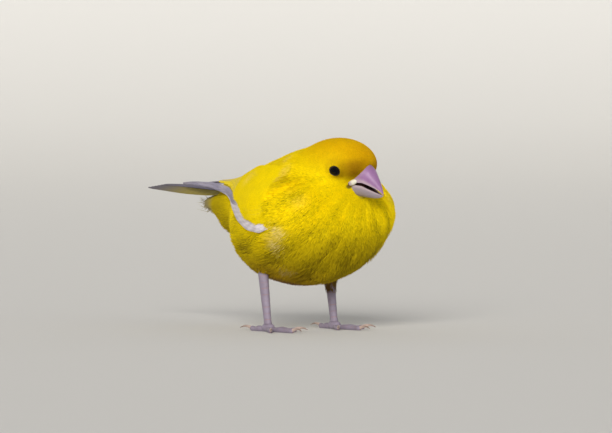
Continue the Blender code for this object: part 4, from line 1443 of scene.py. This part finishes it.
class CANARY_OT_tail(bpy.types.Operator):
    """Build the tail feathers"""

    bl_idname = "canary.tail"
    bl_label = "Tail"

    def execute(self, context):
        settings = context.scene.canary_tail
        sheet = tail_sheet(*TAIL_GRID)
        parts = Parts()
        pairs = settings.vanes // 2
        t = np.linspace(0, 1, 40)
        tint = 0.25 + 0.7 * smooth(0.45, 0.95, t)[:, None]
        for n in reversed(range(pairs)):
            for lower, side in enumerate((1.0, -1.0)):
                b = 0.5 + side * (n + 0.5) / pairs * (0.3 + 0.14 * t)
                vane(parts, sheet, t, b, settings.vane / MM, -0.13 * n - 0.05 * lower, (n + 6 * lower, 0, 12), 0.5,
                     tint, side, ragged=0.06, tip=0.12)
        # painted shade: purple-grey webs and dull yellow edges, darker towards the tips
        finish = vane_finish("tail_vane", SHADED_TAIL_WEB, SHADED_TAIL_EDGE, TAIL_DARK)
        parts.build("tail_feathers", finish, "tail_vane", nodes=["tail"], bake=True)
        return {"FINISHED"}


def bill_ring(along, half, depth, edge, columns):
    """Points across a bill's half, from one cutting edge over its dome to the other."""
    turn = np.linspace(-np.pi / 2, np.pi / 2, columns)
    dome = edge[:, None] + depth[:, None] * np.abs(np.cos(turn))[None] ** 0.8
    x = half[:, None] * np.sin(turn)[None]
    return np.stack(np.broadcast_arrays(x, -along[:, None], dome), -1)


def half_bill(sign, along, half, depth, edge, shares):
    """Upper or lower bill: its dome of horn, the hollow palate between its cutting edges, and both ends closed.

    The palate is a flat half ellipse. Shares are how far along the bill its rows lie."""
    rows, columns = len(along), HORN_COLUMNS
    ring = bill_ring(along, half, sign * depth, edge, columns)
    across = np.linspace(-1, 1, columns)[None]
    palate = ring.copy()
    palate[..., 0] = half[:, None] * across
    palate[..., 2] = edge[:, None] + sign * PALATE_SHARE * depth[:, None] * np.sqrt(1 - across**2)
    u, v = np.broadcast_arrays(0.05 + 0.2 * (across + 1), 0.05 + 0.9 * np.linspace(0, 1, rows)[:, None])
    uv = np.stack([u, v], -1)
    parts = Parts()
    upper, lower = sign > 0, float(sign < 0)
    parts.grid(from_bill(ring), uv, flip=upper, inside=0.0, edge=smooth(0.86, 0.97, np.abs(across)), lower=lower,
               reached=shares[:, None])
    parts.grid(from_bill(palate), uv + np.array([0.5, 0]), flip=not upper, inside=smooth(1.0, 0.86, np.abs(across)),
               edge=1.0, lower=lower, reached=shares[:, None])
    for row, flip in ((0, not upper), (-1, upper)):
        parts.grid(from_bill(np.stack([ring[row], palate[row]])), (0.5, 0.5), flip=flip, inside=0.5, edge=1.0,
                   lower=lower, reached=shares[row])
    return parts


class CANARY_OT_bill(bpy.types.Operator):
    """Build the upper and lower bill"""

    bl_idname = "canary.bill"
    bl_label = "Bill"

    def execute(self, context):
        finish = bill_finish()
        along = -BILL_SUNK + (BILL_LENGTH + BILL_SUNK) * (1 - (1 - np.linspace(0, 1, HORN_ROWS)) ** 1.5)
        along[-1] = BILL_LENGTH * 0.9995
        shares = along / BILL_LENGTH
        edge = -GAPE_SLOPE * np.clip(GAPE_BEND - along, 0, None) * 0.6
        opening = GAPE_OPEN * (along + HINGE) * (1 - TIPS_MEET * np.clip(shares, 0, None) ** 2)
        half = BILL_HALF_WIDTH * bill_taper(along, UPPER_TAPER)
        upper = half_bill(1.0, along, half, UPPER_DEPTH * bill_taper(along, UPPER_TAPER),
                          edge + opening * UPPER_OPEN + HALF_SLIT - HOOK * smooth(0.8, 1.0, shares), shares)
        lower = half_bill(-1.0, along * LOWER_LENGTH, half * LOWER_WIDTH, LOWER_DEPTH * bill_taper(along, LOWER_TAPER),
                          edge - opening * LOWER_OPEN - HALF_SLIT, shares)
        for name, parts in (("upper_bill", upper), ("lower_bill", lower)):
            parts.build(f"{name}_horn", finish, "bill_horn", nodes=[name])

        # the soft corners of the mouth, each a spindle from behind the lower bill up to the upper one
        gape = Parts()
        t = np.linspace(-1, 1, 22)
        for _, side in SIDES:
            line = np.stack([side * (3.75 - 0.6 * t), 0.25 - 0.85 * t, -0.35 + 1.15 * t], -1)
            rings = tube(from_bill(line), 0.85 * np.sqrt(1.0001 - t * t) ** 0.8 + 0.01, 16, squeeze=0.8)
            gape.rings(rings, reached=t[:, None])
        soft = Finish("gape_skin", 0.45, specular_ior_level=0.3)
        cream = soft.mix(soft.value("reached").between(0.1, -0.6), *GAPE_SKIN)
        # painted shade where each spindle tucks in behind the lower bill
        soft.colour(soft.mix(soft.value("reached").between(-0.6, -0.9), cream, GAPE_END_SHADE))
        gape.build("gape", soft.material, "bill_horn")
        return {"FINISHED"}


class CANARY_OT_eyes(bpy.types.Operator):
    """Build the eyeballs and their lids"""

    bl_idname = "canary.eyes"
    bl_label = "Eyes"

    def execute(self, context):
        lid = context.scene.canary_eyes.lid / MM
        glossy = Finish("dark_eye", 0.03, specular_ior_level=0.1)
        glossy.colour(glossy.mix(glossy.value("iris"), *EYE_TONES))
        skin = Finish("lid", 0.5)
        skin.colour(LID_SKIN)
        turn = np.linspace(0, 2 * np.pi, 48, endpoint=False)
        polar = np.linspace(0.02, np.pi - 0.02, 32)[:, None]
        around_lid = np.linspace(0, 2 * np.pi, 14, endpoint=False)[:, None, None]
        aside = np.sin(polar) * EYE_BALL
        iris = smooth(*IRIS_STARTS, aside) * smooth(*IRIS_ENDS, aside)
        wrinkle = lid * (1 + LID_WRINKLE * np.cos(turn * LID_WRINKLES))[None, :, None]
        opening = EYE_SEEN * (1 - LID_NARROWING * np.sin(turn - 0.3) ** 2) + lid * 0.5
        deep = math.sqrt(EYE_BALL**2 - EYE_SEEN**2) + 0.03
        for side_name, side in SIDES:
            centre, out = eye_place(side)
            up = unit(UP - out * out[2])
            ring = np.cos(turn)[:, None] * np.cross(up, out) + np.sin(turn)[:, None] * up
            ball, lids = Parts(), Parts()
            ball.rings(centre + EYE_BALL * (np.cos(polar)[..., None] * out + np.sin(polar)[..., None] * ring[None]),
                       iris=iris)
            ball.build(f"{side_name}_eyeball", glossy.material, "dark_eye", nodes=[f"{side_name}_eye"])
            middle = centre + out * deep + ring * opening[:, None]
            rim = middle[None] + wrinkle * (np.cos(around_lid) * ring[None] + np.sin(around_lid) * out * 0.8)
            lids.grid(np.concatenate([rim, rim[:1]]), (0.5, 0.5), closed=True)
            lids.build(f"{side_name}_lids", skin.material, "plumage")
        return {"FINISHED"}


def aim(thing, at, way):
    """Puts a camera or light at a place, facing a way."""
    thing.location = at
    thing.rotation_mode = "QUATERNION"
    thing.rotation_quaternion = Vector(way).to_track_quat("-Z", "Y")


class CANARY_OT_stage(bpy.types.Operator):
    """Build the floor, the lights and the camera"""

    bl_idname = "canary.stage"
    bl_label = "Stage"

    def execute(self, context):
        settings = context.scene.canary_stage
        feet = place(np.zeros(3))
        az, el = settings.azimuth, settings.elevation
        right = np.array([math.cos(az), math.sin(az), 0])
        look = np.array([-math.sin(az) * math.cos(el), math.cos(az) * math.cos(el), -math.sin(el)])
        level = unit(look * (1, 1, 0))

        across = np.linspace(-1, 1, 3) * FLOOR_HALF_WIDTH
        beyond, up = np.array(FLOOR_PROFILE, float).T[..., None, None]
        points = feet + beyond * level + right * across[None, :, None] + up * UP
        paper = Finish("floor_paper", 0.9, specular_ior_level=0.1).colour(tuple(settings.floor))
        mesh, _ = mesh_of("floor", points.reshape(-1, 3), [grid_faces(*points.shape[:2])], paper)
        floor = shown("floor", mesh)

        lens = bpy.data.cameras.new("camera")
        lens.sensor_width = SENSOR_WIDTH
        lens.lens = SENSOR_WIDTH * settings.distance / (VIEW_WIDTH * MM)
        lens.clip_start, lens.clip_end = CLIP
        camera = shown("camera", lens)
        eye = feet - look * settings.distance
        target = feet + (right * AIM[0] + np.cross(right, look) * AIM[1]) * MM
        aim(camera, eye, target - eye)
        bpy.context.scene.camera = camera

        lamps = []
        for name, (aside, ahead, height), degrees, colour in LIGHTS:
            sun = bpy.data.lights.new(name, "SUN")
            sun.angle, sun.energy, sun.color = math.radians(degrees), getattr(settings, name), colour
            lamps.append(shown(name, sun))
            away = right * aside + level * ahead + UP * height
            aim(lamps[-1], feet + away, -away)
        world = bpy.data.worlds.new("studio")
        world.use_nodes = True
        background = world.node_tree.nodes["Background"]
        for name, value in SKY.items():
            background.inputs[name].default_value = value
        context.scene.world = world
        context.scene.view_settings.view_transform = "Standard"
        return {"FINISHED"}


class CANARY_PT_panel(bpy.types.Panel):
    """Buttons that build the bird"""

    bl_idname = "CANARY_PT_panel"
    bl_label = "Canary"
    bl_space_type = "VIEW_3D"
    bl_region_type = "UI"
    bl_category = "Canary"

    def draw(self, context):
        for group, settings in GROUPS.items():
            box = self.layout.box()
            for name in settings.__annotations__:
                box.prop(getattr(context.scene, group), name)
        for operator in OPERATORS:
            self.layout.operator(operator.bl_idname)


GROUPS = {
    "canary_coat": CoatSettings,
    "canary_wings": WingSettings,
    "canary_tail": TailSettings,
    "canary_legs": LegSettings,
    "canary_eyes": EyeSettings,
    "canary_stage": StageSettings,
}
OPERATORS = (
    CANARY_OT_body,
    CANARY_OT_legs,
    CANARY_OT_wings,
    CANARY_OT_tail,
    CANARY_OT_bill,
    CANARY_OT_eyes,
    CANARY_OT_stage,
)


def register():
    """Registers the settings, the operators and the panel."""
    for cls in (*GROUPS.values(), *OPERATORS, CANARY_PT_panel):
        bpy.utils.register_class(cls)
    for name, group in GROUPS.items():
        setattr(bpy.types.Scene, name, bpy.props.PointerProperty(type=group))


def unregister():
    """Takes them away again."""
    for name in GROUPS:
        delattr(bpy.types.Scene, name)
    for cls in reversed((*GROUPS.values(), *OPERATORS, CANARY_PT_panel)):
        bpy.utils.unregister_class(cls)


def main():
    """Builds every piece and the stage."""
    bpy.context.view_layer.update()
    register()
    for operator in OPERATORS:
        getattr(bpy.ops.canary, operator.bl_idname.split(".")[1])()


if __name__ == "__main__":
    main()
